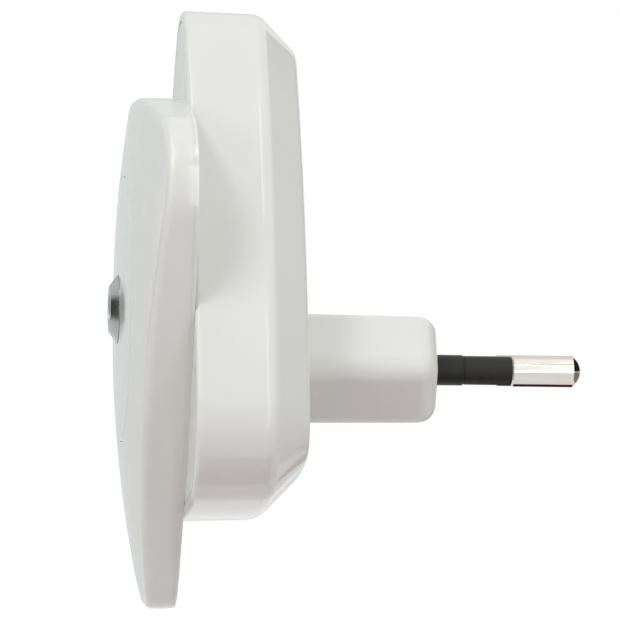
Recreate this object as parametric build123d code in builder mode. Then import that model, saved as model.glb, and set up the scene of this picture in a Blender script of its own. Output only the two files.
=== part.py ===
from build123d import *
import os
from collections import namedtuple
from math import atan, cos, degrees, radians, sin, sqrt, tan

os.makedirs("parts", exist_ok=True)

# Plug-in night light with a flat two-pin plug, in millimetres.
# Frame: +X across the light, +Y towards the wall along the pins, +Z up.
# The origin is the middle of the plug face, the face that meets the socket.

# ---------------------------------------------------------------------------
# Driving dimensions
# ---------------------------------------------------------------------------

# Clearances
FIT_GAP = 0.05  # between round pieces that seat in one another
SEAT_GAP = 0.15  # all round a cover that drops into a rim

# Plug pins, sizes of the standard flat plug
PIN_LENGTH = 19.0  # plug face to pin tip
PIN_RADIUS = 2.0
PIN_CORE_RADIUS = 1.4  # the necked part under the sleeve
PIN_SPACING_AT_FACE = 18.6
PIN_SPACING_AT_TIP = 17.5  # the pins lean together
PIN_TIP_HEIGHT = 1.1
PIN_SHOULDER_CHAMFER = 0.2
PIN_FLANGE_RADIUS = 2.6
PIN_FLANGE_THICKNESS = 1.2
PIN_TAIL_LENGTH = 2.0  # behind the pin holder
SLEEVE_LENGTH = 10.0
SLEEVE_RADIUS = 1.84
SLEEVE_ROOT_RADIUS = 1.75  # in the hole through the plug face
COLLAR_LENGTH = 3.7  # the thicker start of the sleeve
COLLAR_RADIUS = 1.95
COLLAR_GROOVE = 0.2
COLLAR_RECESS_DEPTH = 0.5
COLLAR_RECESS_GAP = 0.25  # round the collar, in the plug face

# Plug neck, moulded in one with the rear shell
PLUG_WIDTH = 35.3
PLUG_HEIGHT = 13.45
PLUG_HEIGHT_AT_ROOT = 13.9
PLUG_FLANK_ANGLE = 34.0  # of the two slopes that meet in a ridge at each end
PLUG_RIDGE_RADIUS = 3.0
PLUG_CORNER_RADIUS = 2.0
PLUG_FACE_ROUND = 2.4
PLUG_DROP = 7.3  # plug axis below the middle of the light
NECK_LENGTH = 17.4
NECK_WALL = 1.8
FACE_WALL = 3.0

# Outline shared by the box and the plate: a triangle with bulging sides
CORNER_RING_RADIUS = 27.9  # middle of the light to the middle of each corner's arc
CORNER_RADIUS = 10.5
SIDE_RADIUS = 121.7

# Box: rear shell and front panel
BOX_DEPTH = 14.75
BOX_WALL = 2.2
BOX_DRAFT = 1.6  # degrees
BOX_CHAMFER = 4.85
BOX_WALL_ROUND = 2.6  # where the side wall meets the slope
BOX_REAR_ROUND = 1.8  # where the slope meets the rear face
BOX_FRONT_ROUND = 0.35
RIM_WIDTH = 1.3
PANEL_THICKNESS = 1.6
PANEL_EDGE_ROUND = 0.25
PANEL_BOSS_HEIGHT = 4.0
PANEL_BOSS_RADIUS = 3.0
COLUMN_RADIUS = 3.7

# Plate: domed diffuser and its rear cover
PLATE_THICKNESS = 8.0  # in the middle
PLATE_WALL = 1.8
DOME_RADIUS = 178.0
PLATE_EDGE_ROUND = 1.2
PLATE_SEAM_CHAMFER = 0.12
FLANGE_THICKNESS = 0.5  # the edge of the rear cover that shows behind the diffuser
BACK_COVER_THICKNESS = 1.9
PLATE_BOSS_RADIUS = 2.7
PLATE_BOSS_GAP = 0.2  # between the lens disc's recess and the bosses round it

# Lens disc
LENS_RADIUS = 16.95
LENS_FRONT_RADIUS = 260.0  # its front is flatter than the dome and level with it at the edge
LENS_EDGE_THICKNESS = 1.8
LENS_THICKNESS = 1.6
LENS_SKIRT_WIDTH = 2.6
LENS_SEAT_WIDTH = 2.5
LENS_SEAT_THICKNESS = 1.2
LENS_EDGE_ROUND = 0.2

# Sensor and its bezel
BEZEL_RISE = 1.05  # front of the bezel above the middle of the lens disc
BEZEL_BASE_RADIUS = 4.4
BEZEL_FRONT_RADIUS = 3.0
BEZEL_EDGE_THICKNESS = 0.15
BEZEL_LIP_RADIUS = 1.95
BEZEL_LIP_THICKNESS = 0.35
BEZEL_LIP_ROUND = 0.12
BEZEL_BORE_RADIUS = 2.45
BEZEL_SHANK_RADIUS = 3.1
BEZEL_SHANK_LENGTH = 2.6  # behind the bezel's base
WINDOW_THICKNESS = 1.0
SHROUD_BORE_RADIUS = 1.7
SENSOR_RADIUS = 1.5
SENSOR_FLANGE_RADIUS = 1.62
SENSOR_FLANGE_HEIGHT = 0.8
SENSOR_SETBACK = 0.4  # sensor's dome behind the window

# LED board
LED_BOARD_THICKNESS = 1.0
LED_BOARD_STANDOFF = 0.6
LED_BOARD_EDGE_GAP = 1.8
LED_COUNT = 3
LED_EDGE_DISTANCE = 5.9  # middle of an LED to the edge of its board
LED_LENGTH = 3.5
LED_WIDTH = 2.8
LED_HEIGHT = 1.2
LED_LENS_RADIUS = 1.15
LED_LENS_DEPTH = 0.3
LED_SCREW_EDGE_DISTANCE = 3.3  # screw axis to the edge of the board

# Driver board
BOARD_WIDTH = 34.0
BOARD_HEIGHT = 36.0
BOARD_SHIFT = -2.0  # board's middle below the middle of the light
BOARD_CORNER_RADIUS = 2.0
BOARD_THICKNESS = 1.6
BOARD_GAP = 2.8  # front panel to board
BOARD_POST_RADIUS = 2.5
BOARD_SCREW_INSET = 2.6  # screw axis in from the board's edges

# Link between the boards
LINK_PIN_COUNT = 4
LINK_PITCH = 2.54
LINK_PIN_WIDTH = 0.64
LINK_PIN_STUB = 0.6  # past each board
LINK_HEADER_HEIGHT = 2.5
LINK_EDGE_DISTANCE = 2.1  # link pins to the edge of the LED board
LINK_SLOT_GAP = 0.8  # all round the pins, in the covers they pass

# Parts on the driver board
LEAD_RADIUS = 0.3
LEAD_HOLE_RADIUS = 0.4
LEAD_STUB = 1.0  # lead past the board
LEAD_BEND = 0.8
FILM_CAP_LENGTH = 12.0
FILM_CAP_WIDTH = 6.0
FILM_CAP_HEIGHT = 11.5
FILM_CAP_LEAD_SPACING = 7.5
FILM_CAP_X = -4.6
ROUND_CAP_RADIUS = 3.15
ROUND_CAP_HEIGHT = 11.0
ROUND_CAP_LEAD_SPACING = 2.5
ROUND_CAP_CRIMP = 0.3
ROUND_CAP_X = 6.2
RESISTOR_RADIUS = 1.6
RESISTOR_LENGTH = 9.0
RESISTOR_LEAD_SPACING = 12.7
RESISTOR_RISE = 2.1  # axis above the board
RESISTOR_X = 4.0
RESISTOR_RAISE = 8.6  # above the middle of the light
RECTIFIER_LENGTH = 4.7
RECTIFIER_WIDTH = 3.9
RECTIFIER_HEIGHT = 2.4
RECTIFIER_X = -9.5
CHIP_LENGTH = 4.9
CHIP_WIDTH = 3.9
CHIP_HEIGHT = 1.5
CHIP_LEG_LENGTH = 1.0
CHIP_LEG_WIDTH = 0.42
CHIP_LEG_THICKNESS = 0.25
CHIP_LEG_PITCH = 1.27
CHIP_X = 0.0
CHIP_RAISE = 3.4
CHIP_RESISTOR_LENGTH = 3.2
CHIP_RESISTOR_WIDTH = 1.6
CHIP_RESISTOR_HEIGHT = 0.6
CHIP_RESISTOR_COUNT = 4
CHIP_RESISTOR_PITCH = 2.6
CHIP_RESISTOR_DROP = 1.9  # below the middle of the light

# Pin holder and contact strips
HOLDER_THICKNESS = 5.0
HOLDER_GAP = 0.3  # all round, in the neck
PIN_PLAY = 0.15  # before and behind a leaning pin's flange
HOLDER_BOSS_RADIUS = 2.8
HOLDER_SINK = 2.2
STRIP_THICKNESS = 0.4
STRIP_WIDTH = 4.0
STRIP_REACH = 3.0  # sideways from the pin's axis to the strip's stalk

# Screws; the length is the part under the head
Screw = namedtuple("Screw", "thread_radius head_radius head_height length")
HOUSING_SCREW = Screw(thread_radius=1.45, head_radius=2.6, head_height=1.9, length=6.5)
PLATE_SCREW = Screw(thread_radius=1.3, head_radius=2.3, head_height=1.7, length=6.5)
BOARD_SCREW = Screw(thread_radius=1.1, head_radius=1.9, head_height=1.3, length=5.0)
LED_SCREW = Screw(thread_radius=0.8, head_radius=1.5, head_height=0.8, length=2.6)
HOLDER_SCREW = Screw(thread_radius=1.1, head_radius=1.9, head_height=1.3, length=5.4)
HOUSING_SCREW_SEAT = 2.0  # wall under a housing screw's head
SINK_GAP = 0.2  # round a sunk head
THREAD_GAP = 0.03
SCREW_HOLE_GAP = 0.25
SCREW_TIP = 0.8
SCREW_CROWN = 0.7  # flat part of a head, as a share of its radius
SCREW_RIM = 0.45  # straight part of a head, as a share of its height
SCREW_SLOT_SPAN = 1.2  # in head radii
SCREW_SLOT_WIDTH = 0.5
SCREW_SLOT_DEPTH = 0.6
PILOT_EXTRA = 0.3  # depth past a screw's tip

# ---------------------------------------------------------------------------
# Places worked out from the sizes
# ---------------------------------------------------------------------------

BOX_TURN = 90.0  # the box has a corner at the top
PLATE_TURN = -90.0  # the plate has a corner at the bottom
CORNERS = 3
CHAMFER_SHRINK = 2 - sqrt(2)  # of a 45-degree chamfer's length, for each inset of its two faces
NEAR = 0.1  # how near a place an edge or corner lies to be picked
CUT_PAST = 1.0  # how far a cut runs past the face that it opens

BOX_REAR_Y = -NECK_LENGTH
BOX_FRONT_Y = BOX_REAR_Y - BOX_DEPTH
BOX_FLOOR_Y = BOX_REAR_Y - BOX_WALL
PANEL_REAR_Y = BOX_FRONT_Y + PANEL_THICKNESS
COLUMN_END_Y = PANEL_REAR_Y + PANEL_BOSS_HEIGHT
BOARD_FRONT_Y = PANEL_REAR_Y + BOARD_GAP
BOARD_REAR_Y = BOARD_FRONT_Y + BOARD_THICKNESS

FLANGE_FRONT_Y = BOX_FRONT_Y - FLANGE_THICKNESS
BACK_COVER_FRONT_Y = BOX_FRONT_Y - BACK_COVER_THICKNESS
LED_BOARD_REAR_Y = BACK_COVER_FRONT_Y - LED_BOARD_STANDOFF
LED_BOARD_FRONT_Y = LED_BOARD_REAR_Y - LED_BOARD_THICKNESS
DOME_TOP_Y = BOX_FRONT_Y - PLATE_THICKNESS

PIN_LEAN = degrees(atan((PIN_SPACING_AT_FACE - PIN_SPACING_AT_TIP) / 2 / PIN_LENGTH))
HOLDER_FRONT_Y = -(FACE_WALL + PIN_FLANGE_THICKNESS + 2 * PIN_PLAY)
HOLDER_REAR_Y = HOLDER_FRONT_Y - HOLDER_THICKNESS
STRIP_PAD_Y = HOLDER_REAR_Y - PIN_TAIL_LENGTH

PLATE_SCREW_RING = LENS_RADIUS + SEAT_GAP + PLATE_BOSS_GAP + PLATE_BOSS_RADIUS
LED_BOARD_RADIUS = PLATE_SCREW_RING - PLATE_BOSS_RADIUS - LED_BOARD_EDGE_GAP
LED_RING = LED_BOARD_RADIUS - LED_EDGE_DISTANCE
LED_SCREW_RING = LED_BOARD_RADIUS - LED_SCREW_EDGE_DISTANCE
LINK_DROP = LED_BOARD_RADIUS - LINK_EDGE_DISTANCE
LENS_OPENING_RADIUS = LENS_RADIUS - LENS_SEAT_WIDTH
BOARD_SCREW_X = BOARD_WIDTH / 2 - BOARD_SCREW_INSET
BOARD_SCREW_V = BOARD_HEIGHT / 2 - BOARD_SCREW_INSET

LIGHT_AXIS = Axis((0, 0, PLUG_DROP), (0, 1, 0))
TURNING_PLANE = Plane(origin=(0, 0, PLUG_DROP), x_dir=(1, 0, 0), z_dir=(0, 0, 1))


def light_plane(y):
    """A plane across the light at y, centred on the light, whose normal points at the wall."""
    return Plane(origin=(0, y, PLUG_DROP), x_dir=(-1, 0, 0), z_dir=(0, 1, 0))


def plug_plane(y):
    """A plane across the plug at y, centred between the pins, whose normal points at the wall."""
    return Plane(origin=(0, y, 0), x_dir=(-1, 0, 0), z_dir=(0, 1, 0))


def pin_plane(side):
    """A plane along a leaning pin: its x runs out from the pin's axis, its y along the pin."""
    lean = radians(PIN_LEAN)
    start = (side * PIN_SPACING_AT_FACE / 2, 0, 0)
    return Plane(origin=start, x_dir=(cos(lean), side * sin(lean), 0), z_dir=(0, 0, 1))


def pin_section_plane(side, along):
    """A plane across a leaning pin, this far along it from the plug face."""
    plane = pin_plane(side)
    return Plane(origin=plane.origin + plane.y_dir * along, z_dir=plane.y_dir)


def pin_axis(side):
    """The axis of one pin, pointing at its tip."""
    plane = pin_plane(side)
    return Axis(plane.origin, plane.y_dir)


def pin_centre_x(side, y):
    """Where a pin's axis is at y."""
    return side * (PIN_SPACING_AT_FACE / 2 - y * tan(radians(PIN_LEAN)))


def polar(radius, angle):
    """The point at this radius and angle in degrees."""
    return Vector(radius * cos(radians(angle)), radius * sin(radians(angle)))


def rounded_triangle(inset, turn):
    """The shared outline, moved in by inset, with one corner in the direction turn."""
    corner_radius = CORNER_RADIUS - inset
    side_radius = SIDE_RADIUS - inset
    half_side = CORNER_RING_RADIUS * sin(radians(60))
    side_centre = sqrt((SIDE_RADIUS - CORNER_RADIUS) ** 2 - half_side**2) - CORNER_RING_RADIUS / 2
    with BuildSketch() as outline:
        with BuildLine():
            for k in range(CORNERS):
                angle = turn + 120 * k
                corner = polar(CORNER_RING_RADIUS, angle)
                next_corner = polar(CORNER_RING_RADIUS, angle + 120)
                before = polar(side_centre, angle + 120)
                after = polar(side_centre, angle - 120)
                start = before + (corner - before).normalized() * side_radius
                end = after + (corner - after).normalized() * side_radius
                side_end = after + (next_corner - after).normalized() * side_radius
                ThreePointArc(start, corner + polar(corner_radius, angle), end)
                ThreePointArc(end, after + polar(side_radius, angle + 60), side_end)
        make_face()
    return outline.sketch


def box_form(inset=0.0):
    """The box with its drafted wall and sloping rear edge, smaller by inset at the sides and rear."""
    with BuildPart() as form:
        with BuildSketch(light_plane(BOX_FRONT_Y)):
            add(rounded_triangle(inset, BOX_TURN))
        extrude(amount=BOX_DEPTH - inset, taper=BOX_DRAFT)
        rear_edges = form.faces().sort_by(Axis.Y)[-1].edges()
        chamfer(rear_edges, length=BOX_CHAMFER - inset * CHAMFER_SHRINK)
    return form.part


def dome_height(radius, inset=0.0):
    """Height of the dome above the plate's back at this radius, with its skin inset."""
    return PLATE_THICKNESS - DOME_RADIUS + sqrt((DOME_RADIUS - inset) ** 2 - radius**2)


def dome_point(radius, inset=0.0):
    """A point of the dome in the turning plane."""
    return (radius, BOX_FRONT_Y - dome_height(radius, inset))


def lens_point(radius, inset=0.0):
    """A point of the lens disc's front in the turning plane, or of its back, inset from it."""
    edge_drop = LENS_FRONT_RADIUS - sqrt(LENS_FRONT_RADIUS**2 - LENS_RADIUS**2)
    drop = LENS_FRONT_RADIUS - sqrt((LENS_FRONT_RADIUS - inset) ** 2 - radius**2)
    return (radius, BOX_FRONT_Y - dome_height(LENS_RADIUS) - edge_drop + drop)


def plate_form(inset=0.0):
    """The plate in front of its rear cover's edge, with its domed front, smaller by inset."""
    with BuildPart() as form:
        with BuildSketch(light_plane(FLANGE_FRONT_Y)):
            add(rounded_triangle(inset, PLATE_TURN))
        extrude(amount=-PLATE_THICKNESS)
        with Locations((0, DOME_TOP_Y + DOME_RADIUS, PLUG_DROP)):
            Sphere(DOME_RADIUS - inset, mode=Mode.INTERSECT)
    return form.part


def plug_section(inset=0.0):
    """The plug's six-sided section, moved in by inset: its end slopes meet in rounded ridges."""
    slope = radians(PLUG_FLANK_ANGLE)
    half_height = PLUG_HEIGHT / 2 - inset
    ridge_x = PLUG_WIDTH / 2 + PLUG_RIDGE_RADIUS * (1 / cos(slope) - 1) - inset / cos(slope)
    flat_x = ridge_x - half_height * tan(slope)
    with BuildSketch() as section:
        with BuildLine():
            right = [(flat_x, -half_height), (ridge_x, 0), (flat_x, half_height)]
            left = [(-x, -y) for x, y in right]
            Polyline(*right, *left, close=True)
        make_face()
        ridges = section.vertices().filter_by_position(Axis.Y, -NEAR, NEAR)
        corners = section.vertices() - ridges
        fillet(ridges, radius=PLUG_RIDGE_RADIUS - inset)
        fillet(corners, radius=max(PLUG_CORNER_RADIUS - inset, PLUG_CORNER_RADIUS / 4))
    return section.sketch


def screw(size):
    """A cross-slotted pan-head screw: the head's seat is at z = 0, and the thread points to -z."""
    slot_span = size.head_radius * SCREW_SLOT_SPAN
    with BuildPart() as form:
        with BuildSketch(Plane.XZ):
            with BuildLine():
                Polyline(
                    (0, size.head_height),
                    (size.head_radius * SCREW_CROWN, size.head_height),
                    (size.head_radius, size.head_height * SCREW_RIM),
                    (size.head_radius, 0),
                    (size.thread_radius, 0),
                    (size.thread_radius, SCREW_TIP - size.length),
                    (0, -size.length),
                    close=True,
                )
            make_face()
        revolve(axis=Axis.Z)
        with BuildSketch(Plane.XY.offset(size.head_height)):
            Rectangle(slot_span, SCREW_SLOT_WIDTH)
            Rectangle(SCREW_SLOT_WIDTH, slot_span)
        extrude(amount=-SCREW_SLOT_DEPTH, mode=Mode.SUBTRACT)
    return form.part


def drill(plane, places, radius, depth):
    """Round plugs to cut holes with, from places of a plane and depth along its normal."""
    with BuildPart() as holes:
        with BuildSketch(plane):
            with Locations(*places):
                Circle(radius)
        extrude(amount=depth)
    return holes.part


def ring_places(radius, count, start):
    """Places evenly spaced round a ring."""
    return [tuple(polar(radius, start + 360 / count * k))[:2] for k in range(count)]


HOUSING_SCREW_PLACES = ring_places(CORNER_RING_RADIUS, CORNERS, BOX_TURN)
PLATE_SCREW_PLACES = ring_places(PLATE_SCREW_RING, CORNERS, PLATE_TURN)
LED_SCREW_PLACES = ring_places(LED_SCREW_RING, CORNERS, BOX_TURN)
LED_PLACES = ring_places(LED_RING, LED_COUNT, PLATE_TURN)
BOARD_SCREW_PLACES = [
    (x, BOARD_SHIFT + v) for x in (-BOARD_SCREW_X, BOARD_SCREW_X) for v in (-BOARD_SCREW_V, BOARD_SCREW_V)
]
LINK_PLACES = [
    ((k - (LINK_PIN_COUNT - 1) / 2) * LINK_PITCH, -LINK_DROP) for k in range(LINK_PIN_COUNT)
]
FILM_CAP_LEADS = [
    (FILM_CAP_X + s * FILM_CAP_LEAD_SPACING / 2, -PLUG_DROP) for s in (-1, 1)
]
ROUND_CAP_LEADS = [
    (ROUND_CAP_X + s * ROUND_CAP_LEAD_SPACING / 2, -PLUG_DROP) for s in (-1, 1)
]
RESISTOR_LEADS = [
    (RESISTOR_X + s * RESISTOR_LEAD_SPACING / 2, RESISTOR_RAISE) for s in (-1, 1)
]
STRIP_STALK_X = pin_centre_x(1, STRIP_PAD_Y) + STRIP_REACH
STRIP_PLACES = [(s * (STRIP_STALK_X - STRIP_THICKNESS / 2), -PLUG_DROP) for s in (-1, 1)]
STRIP_SLOT = (STRIP_THICKNESS + 2 * SEAT_GAP, STRIP_WIDTH + 2 * SEAT_GAP)
LINK_SLOT = (
    (LINK_PIN_COUNT - 1) * LINK_PITCH + LINK_PIN_WIDTH + 2 * LINK_SLOT_GAP,
    LINK_PIN_WIDTH + 2 * LINK_SLOT_GAP,
)


def save(part, name):
    """Name a finished piece and write its STEP file."""
    part.label = name
    export_step(part, f"parts/{name}.step")


# ---------------------------------------------------------------------------
# Rear shell: the box and the plug neck in one moulding
# ---------------------------------------------------------------------------

with BuildPart() as back_housing:
    add(box_form())
    slope_y = BOX_REAR_Y - BOX_CHAMFER
    slope_edges = back_housing.edges().filter_by_position(Axis.Y, slope_y - NEAR, slope_y + NEAR)
    fillet(slope_edges, BOX_WALL_ROUND)
    fillet(back_housing.faces().sort_by(Axis.Y)[-1].edges(), BOX_REAR_ROUND)
    fillet(back_housing.faces().sort_by(Axis.Y)[0].edges(), BOX_FRONT_ROUND)
    root_growth = (PLUG_HEIGHT_AT_ROOT - PLUG_HEIGHT) / 2
    neck_draft = degrees(atan(root_growth / NECK_LENGTH))
    with BuildSketch(plug_plane(BOX_REAR_Y)):
        add(plug_section(-root_growth))
    extrude(amount=NECK_LENGTH, taper=neck_draft)
    fillet(back_housing.faces().sort_by(Axis.Y)[-1].edges(), PLUG_FACE_ROUND)
    # hollow of the box, and the rebate that the front panel drops into
    add(box_form(BOX_WALL), mode=Mode.SUBTRACT)
    with BuildSketch(light_plane(BOX_FRONT_Y)):
        add(rounded_triangle(RIM_WIDTH, BOX_TURN))
    extrude(amount=PANEL_THICKNESS, mode=Mode.SUBTRACT)
    # hollow of the neck
    with BuildSketch(plug_plane(BOX_FLOOR_Y - BOX_WALL)):
        add(plug_section(NECK_WALL))
    extrude(amount=BOX_WALL - BOX_FLOOR_Y - FACE_WALL, mode=Mode.SUBTRACT)
    # screw columns at the corners, posts under the driver board, boss behind the pin holder
    with BuildSketch(light_plane(COLUMN_END_Y)):
        with Locations(*HOUSING_SCREW_PLACES):
            Circle(COLUMN_RADIUS)
    extrude(amount=BOX_FLOOR_Y - COLUMN_END_Y + BOX_WALL / 2)
    with BuildSketch(light_plane(BOARD_REAR_Y)):
        with Locations(*BOARD_SCREW_PLACES):
            Circle(BOARD_POST_RADIUS)
    extrude(amount=BOX_FLOOR_Y - BOARD_REAR_Y + BOX_WALL / 2)
    with BuildSketch(plug_plane(HOLDER_FRONT_Y)):
        Circle(HOLDER_BOSS_RADIUS)
    extrude(amount=-FACE_WALL / 2 - HOLDER_FRONT_Y)
    # screw holes, sunk from the rear at the corners
    seat = light_plane(COLUMN_END_Y + HOUSING_SCREW_SEAT)
    sink = HOUSING_SCREW.head_radius + SINK_GAP
    sink_depth = BOX_REAR_Y - seat.origin.Y + CUT_PAST
    add(drill(seat, HOUSING_SCREW_PLACES, sink, sink_depth), mode=Mode.SUBTRACT)
    through = HOUSING_SCREW.thread_radius + SCREW_HOLE_GAP
    column_end = light_plane(COLUMN_END_Y)
    add(drill(column_end, HOUSING_SCREW_PLACES, through, HOUSING_SCREW_SEAT), mode=Mode.SUBTRACT)
    board_pilot = BOARD_SCREW.length - BOARD_THICKNESS + PILOT_EXTRA
    pilot = BOARD_SCREW.thread_radius + THREAD_GAP
    add(drill(light_plane(BOARD_REAR_Y), BOARD_SCREW_PLACES, pilot, board_pilot), mode=Mode.SUBTRACT)
    holder_pilot = HOLDER_SCREW.length - (HOLDER_THICKNESS - HOLDER_SINK) + PILOT_EXTRA
    pilot = HOLDER_SCREW.thread_radius + THREAD_GAP
    add(drill(plug_plane(HOLDER_FRONT_Y), [(0, 0)], pilot, holder_pilot), mode=Mode.SUBTRACT)
    # the pins' holes through the plug face, and a recess round each collar
    for side in (-1, 1):
        with BuildSketch(pin_section_plane(side, -COLLAR_RECESS_DEPTH)):
            Circle(COLLAR_RADIUS + COLLAR_RECESS_GAP)
        extrude(amount=COLLAR_RECESS_DEPTH + CUT_PAST, mode=Mode.SUBTRACT)
        with BuildSketch(pin_section_plane(side, -FACE_WALL - CUT_PAST)):
            Circle(SLEEVE_ROOT_RADIUS + FIT_GAP)
        extrude(amount=FACE_WALL + CUT_PAST, mode=Mode.SUBTRACT)

save(back_housing.part, "back_housing")

# ---------------------------------------------------------------------------
# Front panel of the box, with bosses for the housing screws
# ---------------------------------------------------------------------------

with BuildPart() as front_panel:
    with BuildSketch(light_plane(BOX_FRONT_Y)):
        add(rounded_triangle(RIM_WIDTH + SEAT_GAP, BOX_TURN))
    extrude(amount=PANEL_THICKNESS)
    fillet(front_panel.faces().sort_by(Axis.Y)[0].edges(), PANEL_EDGE_ROUND)
    with BuildSketch(light_plane(PANEL_REAR_Y)):
        with Locations(*HOUSING_SCREW_PLACES):
            Circle(PANEL_BOSS_RADIUS)
    extrude(amount=PANEL_BOSS_HEIGHT)
    pilot_depth = HOUSING_SCREW.length - HOUSING_SCREW_SEAT + PILOT_EXTRA
    pilot = HOUSING_SCREW.thread_radius + THREAD_GAP
    add(drill(light_plane(COLUMN_END_Y), HOUSING_SCREW_PLACES, pilot, -pilot_depth), mode=Mode.SUBTRACT)
    through = PLATE_SCREW.thread_radius + SCREW_HOLE_GAP
    add(drill(light_plane(PANEL_REAR_Y), PLATE_SCREW_PLACES, through, -PANEL_THICKNESS), mode=Mode.SUBTRACT)
    with BuildSketch(light_plane(PANEL_REAR_Y)):
        with Locations((0, -LINK_DROP)):
            Rectangle(*LINK_SLOT)
    extrude(amount=-PANEL_THICKNESS, mode=Mode.SUBTRACT)

save(front_panel.part, "front_panel")

with BuildPart(light_plane(COLUMN_END_Y + HOUSING_SCREW_SEAT)) as housing_screws:
    with Locations(*HOUSING_SCREW_PLACES):
        add(screw(HOUSING_SCREW))

save(housing_screws.part, "housing_screws")

# ---------------------------------------------------------------------------
# Plate: diffuser cover, rear cover and the screws that hold both to the panel
# ---------------------------------------------------------------------------

lens_seat = dome_height(LENS_RADIUS) - LENS_EDGE_THICKNESS

with BuildPart() as diffuser_cover:
    add(plate_form())
    fillet(diffuser_cover.faces().filter_by(GeomType.SPHERE)[0].edges(), PLATE_EDGE_ROUND)
    chamfer(diffuser_cover.faces().sort_by(Axis.Y)[-1].edges(), PLATE_SEAM_CHAMFER)
    add(plate_form(PLATE_WALL), mode=Mode.SUBTRACT)
    # screw bosses, from the rear cover into the dome's skin
    boss_top = dome_height(PLATE_SCREW_RING - PLATE_BOSS_RADIUS, PLATE_WALL) + PLATE_WALL / 8
    with BuildSketch(light_plane(BACK_COVER_FRONT_Y)):
        with Locations(*PLATE_SCREW_PLACES):
            Circle(PLATE_BOSS_RADIUS)
    extrude(amount=BACK_COVER_THICKNESS - boss_top)
    # the lens seat: a ring behind the skin, a recess and the opening for the light
    with BuildSketch(light_plane(BOX_FRONT_Y - lens_seat + LENS_SEAT_THICKNESS)):
        Circle(LENS_RADIUS + PLATE_WALL)
    extrude(amount=-LENS_SEAT_THICKNESS - PLATE_WALL / 8)
    with BuildSketch(light_plane(BOX_FRONT_Y - lens_seat)):
        Circle(LENS_RADIUS + SEAT_GAP)
    extrude(amount=-PLATE_THICKNESS, mode=Mode.SUBTRACT)
    with BuildSketch(light_plane(BOX_FRONT_Y)):
        Circle(LENS_OPENING_RADIUS)
    extrude(amount=-PLATE_THICKNESS, mode=Mode.SUBTRACT)
    pilot_depth = PLATE_SCREW.length - PANEL_THICKNESS - BACK_COVER_THICKNESS + PILOT_EXTRA
    pilot = PLATE_SCREW.thread_radius + THREAD_GAP
    add(drill(light_plane(BACK_COVER_FRONT_Y), PLATE_SCREW_PLACES, pilot, -pilot_depth), mode=Mode.SUBTRACT)

save(diffuser_cover.part, "diffuser_cover")

with BuildPart() as diffuser_back:
    with BuildSketch(light_plane(BOX_FRONT_Y)):
        add(rounded_triangle(0, PLATE_TURN))
    extrude(amount=-FLANGE_THICKNESS)
    chamfer(diffuser_back.faces().sort_by(Axis.Y)[0].edges(), PLATE_SEAM_CHAMFER)
    with BuildSketch(light_plane(BOX_FRONT_Y)):
        add(rounded_triangle(PLATE_WALL + SEAT_GAP, PLATE_TURN))
    extrude(amount=-BACK_COVER_THICKNESS)
    with BuildSketch(light_plane(BACK_COVER_FRONT_Y)):
        with Locations(*LED_SCREW_PLACES):
            Circle(LED_SCREW.head_radius)
    extrude(amount=-LED_BOARD_STANDOFF)
    through = PLATE_SCREW.thread_radius + SCREW_HOLE_GAP
    back = light_plane(BOX_FRONT_Y)
    add(drill(back, PLATE_SCREW_PLACES, through, -BACK_COVER_THICKNESS), mode=Mode.SUBTRACT)
    led_pilot = LED_SCREW.length - LED_BOARD_THICKNESS + PILOT_EXTRA
    pilot = LED_SCREW.thread_radius + THREAD_GAP
    add(drill(light_plane(LED_BOARD_REAR_Y), LED_SCREW_PLACES, pilot, led_pilot), mode=Mode.SUBTRACT)
    with BuildSketch(light_plane(BOX_FRONT_Y)):
        with Locations((0, -LINK_DROP)):
            Rectangle(*LINK_SLOT)
    extrude(amount=-BACK_COVER_THICKNESS, mode=Mode.SUBTRACT)

save(diffuser_back.part, "diffuser_back")

with BuildPart(light_plane(PANEL_REAR_Y)) as plate_screws:
    with Locations(*PLATE_SCREW_PLACES):
        add(screw(PLATE_SCREW))

save(plate_screws.part, "plate_screws")

# ---------------------------------------------------------------------------
# Lens disc, sensor bezel, window, sensor and shroud, all turned about the light's axis
# ---------------------------------------------------------------------------

with BuildPart() as lens_disc:
    hole = BEZEL_SHANK_RADIUS + FIT_GAP
    skirt = LENS_RADIUS - LENS_SKIRT_WIDTH
    with BuildSketch(TURNING_PLANE):
        with BuildLine():
            front_middle = lens_point((hole + LENS_RADIUS) / 2)
            ThreePointArc(lens_point(hole), front_middle, lens_point(LENS_RADIUS))
            Polyline(
                lens_point(LENS_RADIUS),
                (LENS_RADIUS, BOX_FRONT_Y - lens_seat),
                (skirt, BOX_FRONT_Y - lens_seat),
                lens_point(skirt, LENS_THICKNESS),
            )
            back_middle = lens_point((hole + skirt) / 2, LENS_THICKNESS)
            back_end = lens_point(hole, LENS_THICKNESS)
            ThreePointArc(lens_point(skirt, LENS_THICKNESS), back_middle, back_end)
            Line(back_end, lens_point(hole))
        make_face()
    revolve(axis=LIGHT_AXIS)
    rim = lens_disc.faces().filter_by(GeomType.SPHERE).sort_by(Axis.Y)[0]
    fillet(rim.edges().sort_by(SortBy.LENGTH)[-1], LENS_EDGE_ROUND)

save(lens_disc.part, "lens_disc")

LENS_TOP_Y = lens_point(0)[1]
BEZEL_FRONT_Y = LENS_TOP_Y - BEZEL_RISE
WINDOW_FRONT_Y = BEZEL_FRONT_Y + BEZEL_LIP_THICKNESS
WINDOW_REAR_Y = WINDOW_FRONT_Y + WINDOW_THICKNESS

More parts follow.
